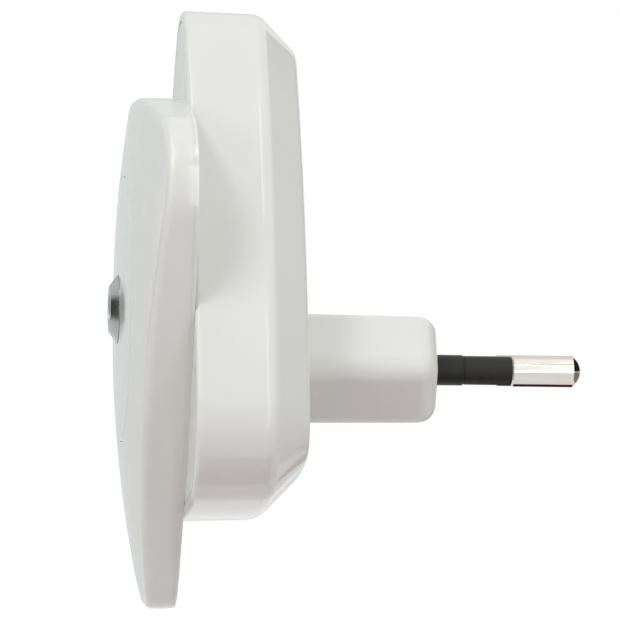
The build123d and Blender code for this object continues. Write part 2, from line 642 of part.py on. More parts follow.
with BuildPart() as sensor_bezel:
    with BuildSketch(TURNING_PLANE) as bezel_profile:
        with BuildLine():
            Polyline(
                (BEZEL_SHANK_RADIUS, LENS_TOP_Y),
                (BEZEL_BASE_RADIUS, LENS_TOP_Y),
                (BEZEL_BASE_RADIUS, LENS_TOP_Y - BEZEL_EDGE_THICKNESS),
                (BEZEL_FRONT_RADIUS, BEZEL_FRONT_Y),
                (BEZEL_LIP_RADIUS, BEZEL_FRONT_Y),
                (BEZEL_LIP_RADIUS, WINDOW_FRONT_Y),
                (BEZEL_BORE_RADIUS, WINDOW_FRONT_Y),
                (BEZEL_BORE_RADIUS, LENS_TOP_Y + BEZEL_SHANK_LENGTH),
                (BEZEL_SHANK_RADIUS, LENS_TOP_Y + BEZEL_SHANK_LENGTH),
                close=True,
            )
        make_face()
        front_corners = bezel_profile.vertices().group_by(Axis.Y)[0]
        fillet(front_corners, BEZEL_LIP_ROUND)
    revolve(axis=LIGHT_AXIS)

save(sensor_bezel.part, "sensor_bezel")

with BuildPart() as sensor_window:
    with BuildSketch(light_plane(WINDOW_FRONT_Y)):
        Circle(BEZEL_BORE_RADIUS - FIT_GAP)
    extrude(amount=WINDOW_THICKNESS)

save(sensor_window.part, "sensor_window")

with BuildPart() as sensor_shroud:
    with BuildSketch(light_plane(WINDOW_REAR_Y)):
        Circle(BEZEL_BORE_RADIUS - FIT_GAP)
        Circle(SHROUD_BORE_RADIUS, mode=Mode.SUBTRACT)
    extrude(amount=LED_BOARD_FRONT_Y - WINDOW_REAR_Y)

save(sensor_shroud.part, "sensor_shroud")

with BuildPart() as light_sensor:
    sensor_top = WINDOW_REAR_Y + SENSOR_SETBACK
    flange_y = LED_BOARD_FRONT_Y - SENSOR_FLANGE_HEIGHT
    dome_start = (SENSOR_RADIUS, sensor_top + SENSOR_RADIUS)
    side = SENSOR_RADIUS * sin(radians(45))
    with BuildSketch(TURNING_PLANE):
        with BuildLine():
            Polyline(
                (0, sensor_top),
                (0, LED_BOARD_FRONT_Y),
                (SENSOR_FLANGE_RADIUS, LED_BOARD_FRONT_Y),
                (SENSOR_FLANGE_RADIUS, flange_y),
                (SENSOR_RADIUS, flange_y),
                dome_start,
            )
            ThreePointArc(dome_start, (side, sensor_top + SENSOR_RADIUS - side), (0, sensor_top))
        make_face()
    revolve(axis=LIGHT_AXIS)

save(light_sensor.part, "light_sensor")

# ---------------------------------------------------------------------------
# LED board
# ---------------------------------------------------------------------------

with BuildPart() as led_board:
    with BuildSketch(light_plane(LED_BOARD_REAR_Y)):
        Circle(LED_BOARD_RADIUS)
        with Locations(*LED_SCREW_PLACES):
            Circle(LED_SCREW.thread_radius + SCREW_HOLE_GAP, mode=Mode.SUBTRACT)
        with Locations(*LINK_PLACES):
            Circle(LINK_PIN_WIDTH, mode=Mode.SUBTRACT)
    extrude(amount=-LED_BOARD_THICKNESS)

save(led_board.part, "led_board")

with BuildPart() as leds:
    with BuildSketch(light_plane(LED_BOARD_FRONT_Y)):
        with Locations(*LED_PLACES):
            RectangleRounded(LED_LENGTH, LED_WIDTH, LED_WIDTH / 10)
    extrude(amount=-LED_HEIGHT)
    top = LED_BOARD_FRONT_Y - LED_HEIGHT
    add(drill(light_plane(top), LED_PLACES, LED_LENS_RADIUS, LED_LENS_DEPTH), mode=Mode.SUBTRACT)

save(leds.part, "leds")

with BuildPart(light_plane(LED_BOARD_FRONT_Y).rotated((180, 0, 0))) as led_board_screws:
    with Locations(*[(x, -v) for x, v in LED_SCREW_PLACES]):
        add(screw(LED_SCREW))

save(led_board_screws.part, "led_board_screws")

# ---------------------------------------------------------------------------
# Driver board and the link between the boards
# ---------------------------------------------------------------------------

with BuildPart() as driver_board:
    with BuildSketch(light_plane(BOARD_FRONT_Y)):
        with Locations((0, BOARD_SHIFT)):
            RectangleRounded(BOARD_WIDTH, BOARD_HEIGHT, BOARD_CORNER_RADIUS)
        with Locations(*BOARD_SCREW_PLACES):
            Circle(BOARD_SCREW.thread_radius + SCREW_HOLE_GAP, mode=Mode.SUBTRACT)
        with Locations(*LINK_PLACES):
            Circle(LINK_PIN_WIDTH, mode=Mode.SUBTRACT)
        with Locations(*FILM_CAP_LEADS, *ROUND_CAP_LEADS, *RESISTOR_LEADS):
            Circle(LEAD_HOLE_RADIUS, mode=Mode.SUBTRACT)
        with Locations(*STRIP_PLACES):
            Rectangle(*STRIP_SLOT, mode=Mode.SUBTRACT)
    extrude(amount=BOARD_THICKNESS)

save(driver_board.part, "driver_board")

with BuildPart(light_plane(BOARD_FRONT_Y).rotated((180, 0, 0))) as driver_board_screws:
    with Locations(*[(x, -v) for x, v in BOARD_SCREW_PLACES]):
        add(screw(BOARD_SCREW))

save(driver_board_screws.part, "driver_board_screws")

with BuildPart() as link_header:
    pin_hole = LINK_PIN_WIDTH + 2 * FIT_GAP
    with BuildSketch(light_plane(BOARD_FRONT_Y)):
        with Locations((0, -LINK_DROP)):
            Rectangle(LINK_PIN_COUNT * LINK_PITCH, LINK_PITCH)
        with Locations(*LINK_PLACES):
            Rectangle(pin_hole, pin_hole, mode=Mode.SUBTRACT)
    extrude(amount=-LINK_HEADER_HEIGHT)

save(link_header.part, "link_header")

with BuildPart() as link_pins:
    with BuildSketch(light_plane(BOARD_REAR_Y + LINK_PIN_STUB)):
        with Locations(*LINK_PLACES):
            Rectangle(LINK_PIN_WIDTH, LINK_PIN_WIDTH)
    extrude(amount=LED_BOARD_FRONT_Y - BOARD_REAR_Y - 2 * LINK_PIN_STUB)

save(link_pins.part, "link_pins")

# ---------------------------------------------------------------------------
# Parts on the driver board, on the side that faces the wall
# ---------------------------------------------------------------------------


def leads(places):
    """Round leads from a part's foot through the board."""
    with BuildPart() as wires:
        with BuildSketch(light_plane(BOARD_REAR_Y)):
            with Locations(*places):
                Circle(LEAD_RADIUS)
        extrude(amount=-BOARD_THICKNESS - LEAD_STUB)
    return wires.part


with BuildPart() as film_capacitor:
    with BuildSketch(light_plane(BOARD_REAR_Y)):
        with Locations((FILM_CAP_X, -PLUG_DROP)):
            Rectangle(FILM_CAP_LENGTH, FILM_CAP_WIDTH)
    extrude(amount=FILM_CAP_HEIGHT)
    fillet(film_capacitor.edges().filter_by(Axis.Y), FILM_CAP_WIDTH / 10)
    add(leads(FILM_CAP_LEADS))

save(film_capacitor.part, "film_capacitor")

with BuildPart() as smoothing_capacitor:
    with BuildSketch(light_plane(BOARD_REAR_Y)):
        with Locations((ROUND_CAP_X, -PLUG_DROP)):
            Circle(ROUND_CAP_RADIUS)
    extrude(amount=ROUND_CAP_HEIGHT)
    fillet(smoothing_capacitor.edges().group_by(Axis.Y)[-1], ROUND_CAP_CRIMP)
    crimp_y = BOARD_REAR_Y + ROUND_CAP_RADIUS / 2
    with BuildSketch(light_plane(crimp_y)):
        with Locations((ROUND_CAP_X, -PLUG_DROP)):
            Circle(ROUND_CAP_RADIUS)
            Circle(ROUND_CAP_RADIUS - ROUND_CAP_CRIMP, mode=Mode.SUBTRACT)
    extrude(amount=2 * ROUND_CAP_CRIMP, mode=Mode.SUBTRACT)
    add(leads(ROUND_CAP_LEADS))

save(smoothing_capacitor.part, "smoothing_capacitor")

with BuildPart() as fuse_resistor:
    resistor_y = BOARD_REAR_Y + RESISTOR_RISE
    resistor_z = PLUG_DROP + RESISTOR_RAISE
    with BuildSketch(Plane(origin=(-RESISTOR_X, resistor_y, resistor_z), z_dir=(1, 0, 0))):
        Circle(RESISTOR_RADIUS)
    extrude(amount=RESISTOR_LENGTH / 2, both=True)
    fillet(fuse_resistor.edges().filter_by(GeomType.CIRCLE), RESISTOR_RADIUS / 4)
    # one wire through the body, bent down to the board at both ends
    first_x, last_x = [-x for x, v in RESISTOR_LEADS]
    foot_y = BOARD_FRONT_Y - LEAD_STUB
    with BuildLine() as wire:
        FilletPolyline(
            (first_x, foot_y, resistor_z),
            (first_x, resistor_y, resistor_z),
            (last_x, resistor_y, resistor_z),
            (last_x, foot_y, resistor_z),
            radius=LEAD_BEND,
        )
    with BuildSketch(Plane(origin=(first_x, foot_y, resistor_z), z_dir=(0, 1, 0))):
        Circle(LEAD_RADIUS)
    sweep(path=wire.line)

save(fuse_resistor.part, "fuse_resistor")

with BuildPart() as bridge_rectifier:
    with BuildSketch(light_plane(BOARD_REAR_Y)):
        with Locations((RECTIFIER_X, RESISTOR_RAISE)):
            Rectangle(RECTIFIER_LENGTH, RECTIFIER_WIDTH)
            with GridLocations(RECTIFIER_LENGTH / 2, RECTIFIER_WIDTH, 2, 2):
                Rectangle(2 * CHIP_LEG_WIDTH, 2 * CHIP_LEG_LENGTH)
    extrude(amount=CHIP_LEG_THICKNESS)
    with BuildSketch(light_plane(BOARD_REAR_Y)):
        with Locations((RECTIFIER_X, RESISTOR_RAISE)):
            Rectangle(RECTIFIER_LENGTH, RECTIFIER_WIDTH)
    extrude(amount=RECTIFIER_HEIGHT)

save(bridge_rectifier.part, "bridge_rectifier")

with BuildPart() as control_chip:
    with BuildSketch(light_plane(BOARD_REAR_Y)):
        with Locations((CHIP_X, CHIP_RAISE)):
            Rectangle(CHIP_LENGTH, CHIP_WIDTH)
            with GridLocations(CHIP_LEG_PITCH, CHIP_WIDTH, 4, 2):
                Rectangle(CHIP_LEG_WIDTH, 2 * CHIP_LEG_LENGTH)
    extrude(amount=CHIP_LEG_THICKNESS)
    with BuildSketch(light_plane(BOARD_REAR_Y)):
        with Locations((CHIP_X, CHIP_RAISE)):
            Rectangle(CHIP_LENGTH, CHIP_WIDTH)
    extrude(amount=CHIP_HEIGHT)

save(control_chip.part, "control_chip")

with BuildPart() as chip_resistors:
    with BuildSketch(light_plane(BOARD_REAR_Y)):
        with Locations((0, -CHIP_RESISTOR_DROP)):
            with GridLocations(CHIP_RESISTOR_PITCH, 0, CHIP_RESISTOR_COUNT, 1):
                Rectangle(CHIP_RESISTOR_WIDTH, CHIP_RESISTOR_LENGTH)
    extrude(amount=CHIP_RESISTOR_HEIGHT)

save(chip_resistors.part, "chip_resistors")

# ---------------------------------------------------------------------------
# Plug: pins, sleeves, holder and contact strips
# ---------------------------------------------------------------------------


def pin(side):
    """One pin, turned about its own axis: tail, flange, core under the sleeve and full-size end."""
    flange_front = -(FACE_WALL + PIN_PLAY)
    flange_back = flange_front - PIN_FLANGE_THICKNESS
    cap_radius = (PIN_RADIUS**2 + PIN_TIP_HEIGHT**2) / (2 * PIN_TIP_HEIGHT)
    cap_half_angle = degrees(atan(PIN_RADIUS / (cap_radius - PIN_TIP_HEIGHT))) / 2
    cap_middle = polar(cap_radius, 90 - cap_half_angle) + Vector(0, PIN_LENGTH - cap_radius)
    with BuildPart() as form:
        with BuildSketch(pin_plane(side)):
            with BuildLine():
                Polyline(
                    (0, PIN_LENGTH),
                    (0, STRIP_PAD_Y),
                    (PIN_CORE_RADIUS, STRIP_PAD_Y),
                    (PIN_CORE_RADIUS, flange_back),
                    (PIN_FLANGE_RADIUS, flange_back),
                    (PIN_FLANGE_RADIUS, flange_front),
                    (PIN_CORE_RADIUS, flange_front),
                    (PIN_CORE_RADIUS, SLEEVE_LENGTH),
                    (PIN_RADIUS - PIN_SHOULDER_CHAMFER, SLEEVE_LENGTH),
                    (PIN_RADIUS, SLEEVE_LENGTH + PIN_SHOULDER_CHAMFER),
                    (PIN_RADIUS, PIN_LENGTH - PIN_TIP_HEIGHT),
                )
                ThreePointArc((PIN_RADIUS, PIN_LENGTH - PIN_TIP_HEIGHT), cap_middle, (0, PIN_LENGTH))
            make_face()
        revolve(axis=pin_axis(side))
    return form.part


def pin_sleeve(side):
    """The insulating sleeve of one pin, with a thicker collar at the plug face."""
    inner = PIN_CORE_RADIUS + FIT_GAP
    groove = SLEEVE_RADIUS - COLLAR_GROOVE / 2
    with BuildPart() as form:
        with BuildSketch(pin_plane(side)):
            with BuildLine():
                Polyline(
                    (inner, -FACE_WALL),
                    (SLEEVE_ROOT_RADIUS, -FACE_WALL),
                    (SLEEVE_ROOT_RADIUS, -COLLAR_RECESS_DEPTH),
                    (COLLAR_RADIUS, -COLLAR_RECESS_DEPTH),
                    (COLLAR_RADIUS, COLLAR_LENGTH),
                    (groove, COLLAR_LENGTH),
                    (groove, COLLAR_LENGTH + COLLAR_GROOVE),
                    (SLEEVE_RADIUS, COLLAR_LENGTH + COLLAR_GROOVE),
                    (SLEEVE_RADIUS, SLEEVE_LENGTH),
                    (inner, SLEEVE_LENGTH),
                    close=True,
                )
            make_face()
        revolve(axis=pin_axis(side))
    return form.part


def contact_strip(side):
    """A bent strip from the end of a pin's tail to its slot in the driver board."""
    tail_x = pin_centre_x(1, STRIP_PAD_Y)
    pad_start = tail_x - PIN_CORE_RADIUS
    pad_y = STRIP_PAD_Y - PIN_PLAY
    with BuildPart() as form:
        with BuildSketch(Plane(origin=(0, 0, 0), x_dir=(side, 0, 0), z_dir=(0, 0, side))):
            with BuildLine():
                Polyline(
                    (pad_start, pad_y),
                    (STRIP_STALK_X, pad_y),
                    (STRIP_STALK_X, BOARD_FRONT_Y - LEAD_STUB),
                    (STRIP_STALK_X - STRIP_THICKNESS, BOARD_FRONT_Y - LEAD_STUB),
                    (STRIP_STALK_X - STRIP_THICKNESS, pad_y - STRIP_THICKNESS),
                    (pad_start, pad_y - STRIP_THICKNESS),
                    close=True,
                )
            make_face()
        extrude(amount=STRIP_WIDTH / 2, both=True)
    return form.part


for side, name in ((-1, "left"), (1, "right")):
    save(pin(side), f"pin_{name}")
    save(pin_sleeve(side), f"pin_sleeve_{name}")
    save(contact_strip(side), f"contact_strip_{name}")

with BuildPart() as pin_holder:
    with BuildSketch(plug_plane(HOLDER_FRONT_Y)):
        add(plug_section(NECK_WALL + HOLDER_GAP))
    extrude(amount=-HOLDER_THICKNESS)
    for side in (-1, 1):
        with BuildSketch(pin_section_plane(side, 0)):
            Circle(PIN_CORE_RADIUS + FIT_GAP)
        extrude(amount=-NECK_LENGTH, mode=Mode.SUBTRACT)
    through = HOLDER_SCREW.thread_radius + SCREW_HOLE_GAP
    add(drill(plug_plane(HOLDER_FRONT_Y), [(0, 0)], through, -HOLDER_THICKNESS), mode=Mode.SUBTRACT)
    sink = HOLDER_SCREW.head_radius + SINK_GAP
    add(drill(plug_plane(HOLDER_REAR_Y), [(0, 0)], sink, HOLDER_SINK), mode=Mode.SUBTRACT)

save(pin_holder.part, "pin_holder")

with BuildPart(plug_plane(HOLDER_REAR_Y + HOLDER_SINK).rotated((180, 0, 0))) as pin_holder_screw:
    add(screw(HOLDER_SCREW))

save(pin_holder_screw.part, "pin_holder_screw")
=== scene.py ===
from math import asin, atan, cos, pi, radians, sin, sqrt, tan

import bmesh
import bpy
import numpy as np
from bpy.props import FloatProperty, FloatVectorProperty, PointerProperty
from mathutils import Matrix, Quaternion, Vector


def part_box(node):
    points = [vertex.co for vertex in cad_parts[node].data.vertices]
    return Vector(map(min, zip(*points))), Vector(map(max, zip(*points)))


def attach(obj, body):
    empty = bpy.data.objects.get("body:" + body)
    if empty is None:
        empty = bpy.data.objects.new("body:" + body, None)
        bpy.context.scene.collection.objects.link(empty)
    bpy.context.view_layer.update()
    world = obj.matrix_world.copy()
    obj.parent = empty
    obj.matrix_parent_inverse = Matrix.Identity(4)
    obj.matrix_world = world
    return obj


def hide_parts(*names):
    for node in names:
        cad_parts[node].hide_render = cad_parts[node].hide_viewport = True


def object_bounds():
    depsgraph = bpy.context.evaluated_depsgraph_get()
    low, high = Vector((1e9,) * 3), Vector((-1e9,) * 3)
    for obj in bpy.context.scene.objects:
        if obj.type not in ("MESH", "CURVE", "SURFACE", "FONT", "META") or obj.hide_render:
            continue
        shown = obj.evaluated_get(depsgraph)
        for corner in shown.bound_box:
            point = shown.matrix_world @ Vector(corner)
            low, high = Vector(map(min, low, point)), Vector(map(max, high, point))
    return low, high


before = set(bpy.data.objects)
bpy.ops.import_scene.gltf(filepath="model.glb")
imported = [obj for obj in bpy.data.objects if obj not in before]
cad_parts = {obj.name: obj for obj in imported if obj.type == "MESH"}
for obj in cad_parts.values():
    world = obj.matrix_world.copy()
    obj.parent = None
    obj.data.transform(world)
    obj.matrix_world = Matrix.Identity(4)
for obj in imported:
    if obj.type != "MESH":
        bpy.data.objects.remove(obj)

CAD_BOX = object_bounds()

bl_info = {
    "name": "Plug-in night light",
    "version": (1, 0, 0),
    "blender": (4, 5, 0),
    "location": "View3D > Sidebar > Night light",
    "description": "A plug-in night light with a domed diffuser, a light sensor and a flat plug",
    "category": "Add Mesh",
}

# Frame: +X across the light, +Y towards the wall along the pins, +Z up, in metres.
# The origin is the middle of the plug face.
MM = 0.001
WELD = 2e-7  # points nearer than this are one point
TO_WALL = np.array([0.0, 1.0, 0.0])
UP = np.array([0.0, 0.0, 1.0])
SHARP_FROM = radians(32)  # edges that turn by more than this stay sharp
FACE_FLAT_FROM = 1.1  # the flat of the plug face starts this many of its rounds in
GLASS_ROUND = 0.05 * MM  # radius of the edge of the window
ROUND_FROM = 2  # the skins beside the lens disc's gap end this many edge radii off it
TRACK_CELL = 4 * MM  # the cells whose edges the copper tracks follow
SQUARE = ((-1, -1), (1, -1), (1, 1), (-1, 1))  # corners of a flat sheet


# --- Sizes and colours that a user would change ---


def number(name, value, description, **kind):
    """A number property."""
    return FloatProperty(name=name, description=description, default=value, **kind)


def size(name, millimetres, description):
    """A length property whose default is given in millimetres."""
    return number(name, millimetres * MM, description, unit="LENGTH", precision=5)


def turn(name, degrees, description):
    """An angle property whose default is given in degrees."""
    return number(name, radians(degrees), description, subtype="ANGLE")


def colour(name, rgb, description):
    """A colour property."""
    return FloatVectorProperty(
        name=name, description=description, default=rgb, subtype="COLOR", size=3, min=0.0, max=1.0
    )


def share(name, value, description):
    """A number from nought to one."""
    return number(name, value, description, min=0.0, max=1.0)


class OutlineSizes(bpy.types.PropertyGroup):
    """The triangle with bulging sides that the box and the plate share."""

    drop: size("Drop", 7.3, "Plug axis below the middle of the light")
    ring_radius: size("Corner ring", 27.9, "Middle of the light to the middle of a corner's arc")
    corner_radius: size("Corner radius", 10.5, "Radius of the corners")
    side_radius: size("Side radius", 121.7, "Radius of the bulging sides")


class BoxSizes(bpy.types.PropertyGroup):
    """Rear shell of the box and its front panel."""

    depth: size("Depth", 14.75, "Front of the rim to the rear face")
    wall: size("Wall", 2.2, "Thickness of the shell")
    draft: turn("Draft", 1.6, "Lean of the side wall")
    chamfer: size("Slope", 4.85, "Length cut off the rear edge on both its faces")
    wall_round: size("Wall round", 2.6, "Radius where the side wall meets the slope")
    rear_round: size("Rear round", 1.8, "Radius where the slope meets the rear face")
    front_round: size("Front round", 0.6, "Radius of the rim's front edge")
    rim_width: size("Rim width", 1.3, "Rim of the shell round the front panel")
    panel_thickness: size("Panel thickness", 1.6, "Thickness of the front panel")
    panel_round: size("Panel round", 0.25, "Radius of the front panel's edge")
    panel_gap: size("Panel gap", 0.15, "Clearance round the front panel")
    well_radius: size("Screw well", 2.8, "Radius of the wells for the housing screws")
    hole_radius: size("Screw hole", 1.7, "Radius of the holes under the wells")
    column_radius: size("Column radius", 3.7, "Radius of the screw columns inside")
    column_height: size("Column end", 4.0, "Front panel to the end of the columns")
    seat: size("Screw seat", 2.0, "Wall under a housing screw's head")


class PlateSizes(bpy.types.PropertyGroup):
    """Domed diffuser and its rear cover."""

    thickness: size("Thickness", 8.0, "Thickness in the middle, with the rear cover")
    wall: size("Wall", 1.8, "Thickness of the diffuser")
    dome_radius: size("Dome radius", 178.0, "Radius of the domed front")
    edge_round: size("Edge round", 1.2, "Radius where the dome meets the side")
    ease: size("Ease", 0.12, "How far the side draws in at the rear")
    ease_length: size("Ease length", 2.4, "Length over which the side draws in")
    seam: size("Seam", 0.012, "Bevel on both sides of the seam with the rear cover")
    flange: size("Flange", 0.5, "Visible edge of the rear cover")
    back_thickness: size("Rear cover", 1.9, "Thickness of the rear cover")
    back_gap: size("Rear cover gap", 0.15, "Clearance of the rear cover in the diffuser")


class LensSizes(bpy.types.PropertyGroup):
    """Round lens disc in the middle of the diffuser."""

    radius: size("Radius", 16.95, "Radius of the disc")
    front_radius: size("Front", 260.0, "Radius of the disc's front, flatter than the dome")
    gap: size("Gap", 0.09, "Clearance round the disc")
    edge_thickness: size("Edge thickness", 1.8, "Thickness of the disc at its edge")
    thickness: size("Thickness", 1.6, "Thickness of the disc")
    skirt: size("Skirt", 2.6, "Width of the disc's thicker edge")
    seat_width: size("Seat width", 2.5, "Width of the seat in the diffuser")
    seat_thickness: size("Seat thickness", 1.2, "Thickness of the seat")
    edge_round: size("Edge round", 0.25, "Radius of the front edges on both sides of the gap")


class BezelSizes(bpy.types.PropertyGroup):
    """Plated ring round the sensor's window."""

    rise: size("Rise", 1.05, "Front of the bezel above the middle of the lens disc")
    base_radius: size("Base radius", 4.4, "Radius on the lens disc")
    front_radius: size("Front radius", 3.0, "Radius of the front")
    edge: size("Edge", 0.05, "Height of the upright edge on the lens disc")
    lip_radius: size("Lip radius", 1.95, "Radius of the hole in the front")
    lip: size("Lip", 0.35, "Thickness of the front")
    lip_round: size("Lip round", 0.12, "Radius of the edges of the front")
    bore_radius: size("Bore", 2.45, "Radius of the bore behind the lip")
    shank_radius: size("Shank radius", 3.1, "Radius of the shank in the lens disc")
    shank: size("Shank", 2.6, "Length of the shank")
    window: size("Window", 1.0, "Thickness of the window")
    fit: size("Fit", 0.05, "Clearance between the round pieces")


class PlugSizes(bpy.types.PropertyGroup):
    """Plug neck of the rear shell."""

    width: size("Width", 35.3, "Width of the plug")
    height: size("Height", 13.45, "Height of the plug at its face")
    root_height: size("Root height", 13.9, "Height of the plug at the box")
    flank: turn("Flank", 34.0, "Lean of the slopes that meet at each end")
    ridge_radius: size("Ridge radius", 3.0, "Radius of the ridge at each end")
    corner_radius: size("Corner radius", 2.0, "Radius of the long edges")
    face_round: size("Face round", 2.4, "Radius round the plug face")
    wall: size("Wall", 1.8, "Wall of the neck")
    face_wall: size("Face wall", 3.0, "Wall behind the plug face")


class PinSizes(bpy.types.PropertyGroup):
    """Plug pins and their sleeves."""

    length: size("Length", 19.0, "Plug face to pin tip")
    radius: size("Radius", 2.0, "Radius of the bare end")
    core_radius: size("Core radius", 1.4, "Radius under the sleeve")
    spacing: size("Spacing", 18.6, "Distance between the pins at the plug face")
    tip_spacing: size("Tip spacing", 17.5, "Distance between the pins at their tips")
    tip_height: size("Tip height", 1.1, "Height of the domed tip")
    shoulder: size("Shoulder", 0.2, "Bevel at the end of the sleeve")
    flange_radius: size("Flange radius", 2.6, "Radius of the flange inside the neck")
    flange: size("Flange", 1.2, "Thickness of the flange")
    flange_play: size("Flange play", 0.15, "Face wall to flange")
    tail: size("Tail", 11.5, "Plug face to the end of the tail")
    sleeve: size("Sleeve", 10.0, "Length of the sleeve past the plug face")
    sleeve_radius: size("Sleeve radius", 1.84, "Radius of the sleeve")
    root_radius: size("Root radius", 1.75, "Radius of the sleeve in the plug face")
    collar: size("Collar", 3.7, "Length of the thicker start of the sleeve")
    collar_radius: size("Collar radius", 1.95, "Radius of that start")
    groove: size("Groove", 0.2, "Width of the groove after the collar")
    recess: size("Recess", 0.5, "Depth of the recess round the collar")
    recess_gap: size("Recess gap", 0.25, "Clearance round the collar")
    fit: size("Fit", 0.05, "Clearance between the round pieces")


class FinishColours(bpy.types.PropertyGroup):
    """Colours of the pieces that show."""

    shell: colour("Shell", (0.78, 0.79, 0.755), "White plastic of the box and plug")
    panel: colour("Panel", (0.77, 0.785, 0.75), "White plastic of the front panel")
    diffuser: colour("Diffuser", (0.79, 0.80, 0.765), "Milky plastic of the plate")
    lens: colour("Lens", (0.76, 0.79, 0.76), "Milky plastic of the lens disc")
    bezel: colour("Bezel", (0.39, 0.42, 0.41), "Plating of the sensor's bezel")
    window: colour("Window", (0.015, 0.016, 0.018), "Smoked plastic of the window")
    pin: colour("Pin", (0.66, 0.64, 0.59), "Nickel of the pins")
    sleeve: colour("Sleeve", (0.018, 0.019, 0.016), "Insulating sleeves")


class StageSettings(bpy.types.PropertyGroup):
    """Camera, floor and lamps."""

    lens: number("Lens", 521.13, "Focal length in millimetres")
    distance: size("Distance", 1152.8, "Camera to its target")
    azimuth: turn("Azimuth", 84.9242, "Direction of the camera round the light")
    elevation: turn("Elevation", -0.2595, "Camera above the horizon")
    roll: turn("Roll", 0.6967, "Turn of the camera about its view")
    target: FloatVectorProperty(
        name="Target", description="What the camera looks at", subtype="XYZ", unit="LENGTH",
        size=3, default=(0.0014701, -0.0151820, 0.0074977),
    )
    floor_drop: size("Floor", 70.0, "Floor below the lowest part of the light")
    surround: share("Surround", 0.51, "Level of the light from all round")
    above: share("Above", 0.05, "Level of the lamp above")
    key: share("Key", 0.2, "Level of the small lamp high in front")
    strip: share("Strip", 0.09, "Level of the tall narrow lamp")
    front: share("Front", 0.15, "Level of the lamp between the camera and the plate")
    rear: share("Rear", 0.28, "Level of the lamp on the wall's side")


class NightLight(bpy.types.PropertyGroup):
    """All settings of the night light."""

    outline: PointerProperty(type=OutlineSizes)
    box: PointerProperty(type=BoxSizes)
    plate: PointerProperty(type=PlateSizes)
    lens: PointerProperty(type=LensSizes)
    bezel: PointerProperty(type=BezelSizes)
    plug: PointerProperty(type=PlugSizes)
    pins: PointerProperty(type=PinSizes)
    colours: PointerProperty(type=FinishColours)
    stage: PointerProperty(type=StageSettings)


# --- Corners, turns and counts of points ---

CORNERS = 3
CORNER_STEPS = 40  # points round each corner
SIDE_STEPS = 36  # points along each side
BOX_TURN = pi / 2  # the box has a corner at the top
PLATE_TURN = -pi / 2  # the plate has a corner at the bottom
BOX_FRONT_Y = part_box("back_housing")[0].y


# --- Surfaces ---


def direction(angle):
    """Unit vectors in the plane across the light: cosine along +X and sine along +Z."""
    return np.stack([np.cos(angle), np.sin(angle)], axis=-1)


def triangle_arcs(outline, start):
    """Arc centres, arc radii and outward normals all round the rounded triangle.

    Each corner's arc has its centre on the corner ring. Each side's arc has its centre on the
    far side of the middle, where the two circles touch: the centres are the side radius less
    the corner radius apart. Normals turn steadily along each arc, and a corner takes what the
    sides leave of a third of a turn.
    """
    half_side = outline.ring_radius * sin(pi / 3)
    reach = outline.side_radius - outline.corner_radius
    side_centre = sqrt(reach**2 - half_side**2) - outline.ring_radius / 2
    spread = asin(half_side / reach)
    corner = np.linspace(spread - pi / 3, pi / 3 - spread, CORNER_STEPS, endpoint=False)
    side = np.linspace(-spread, spread, SIDE_STEPS, endpoint=False)
    centres, radii, normals = [], [], []
    for k in range(CORNERS):
        corner_angle = start + k * 2 * pi / CORNERS
        side_angle = corner_angle + pi / CORNERS
        centres += [np.tile(outline.ring_radius * direction(corner_angle), (len(corner), 1))]
        centres += [np.tile(-side_centre * direction(side_angle), (len(side), 1))]
        radii += [np.full(len(corner), outline.corner_radius)]
        radii += [np.full(len(side), outline.side_radius)]
        normals += [direction(corner_angle + corner), direction(side_angle + side)]
    return np.concatenate(centres), np.concatenate(radii), np.concatenate(normals)


def on_light(points, y, drop=0.0):
    """Points of the plane across the light put at y, with the middle of the light above the plug."""
    y = np.broadcast_to(y, points.shape[:-1])
    return np.stack([points[..., 0], y, points[..., 1] + drop], axis=-1)


def triangle_rings(arcs, profile, drop=0.0):
    """The outline carried through a profile of (inset, y).

    A point is its arc's centre plus the arc's radius, less the inset, along the normal.
    """
    centres, radii, normals = arcs
    inset, y = np.asarray(profile).T
    reach = radii[None, :, None] - inset[:, None, None]
    return on_light(centres[None] + reach * normals[None], y[:, None], drop)


def rounded(corners, radii, steps=8):
    """A profile through corners, each bend a circular arc of its own radius.

    The arc's centre lies on the bend's bisector, its radius over the sine of half the bend
    away, and its points swing from one tangent point to the other at a steady angle.
    """
    corners = np.asarray(corners, float)
    points = [corners[:1]]
    for before, here, after, radius in zip(corners, corners[1:], corners[2:], radii):
        if radius == 0:
            points.append(here[None])
            continue
        back = (before - here) / np.linalg.norm(before - here)
        on = (after - here) / np.linalg.norm(after - here)
        half = np.arccos(np.clip(back @ on, -1, 1)) / 2
        centre = here + (back + on) / np.linalg.norm(back + on) * radius / sin(half)
        points.append(centre + swing(here + back * radius / tan(half) - centre,
                                     here + on * radius / tan(half) - centre, steps))
    points.append(corners[-1:])
    return np.concatenate(points)


def stairs(radii, stops):
    """A stepped profile: each radius runs from its stop to the next, where the next one starts."""
    return [(radius, stop) for radius, *ends in zip(radii, stops, stops[1:]) for stop in ends]


def swing(start, end, steps):
    """Vectors that swing from start to end, of one length, at a steady angle.

    Each is start by the sine of the angle to go plus end by the sine of the angle gone, over
    the sine of the whole angle.
    """
    start, end = np.asarray(start, float), np.asarray(end, float)
    lengths = np.linalg.norm(start, axis=-1) * np.linalg.norm(end, axis=-1)
    whole = np.arccos(np.clip((start * end).sum(-1) / lengths, -1, 1))
    gone = np.linspace(0, 1, steps + 1).reshape((-1,) + (1,) * start.ndim)
    whole = whole[..., None]
    return (start * np.sin((1 - gone) * whole) + end * np.sin(gone * whole)) / np.sin(whole)


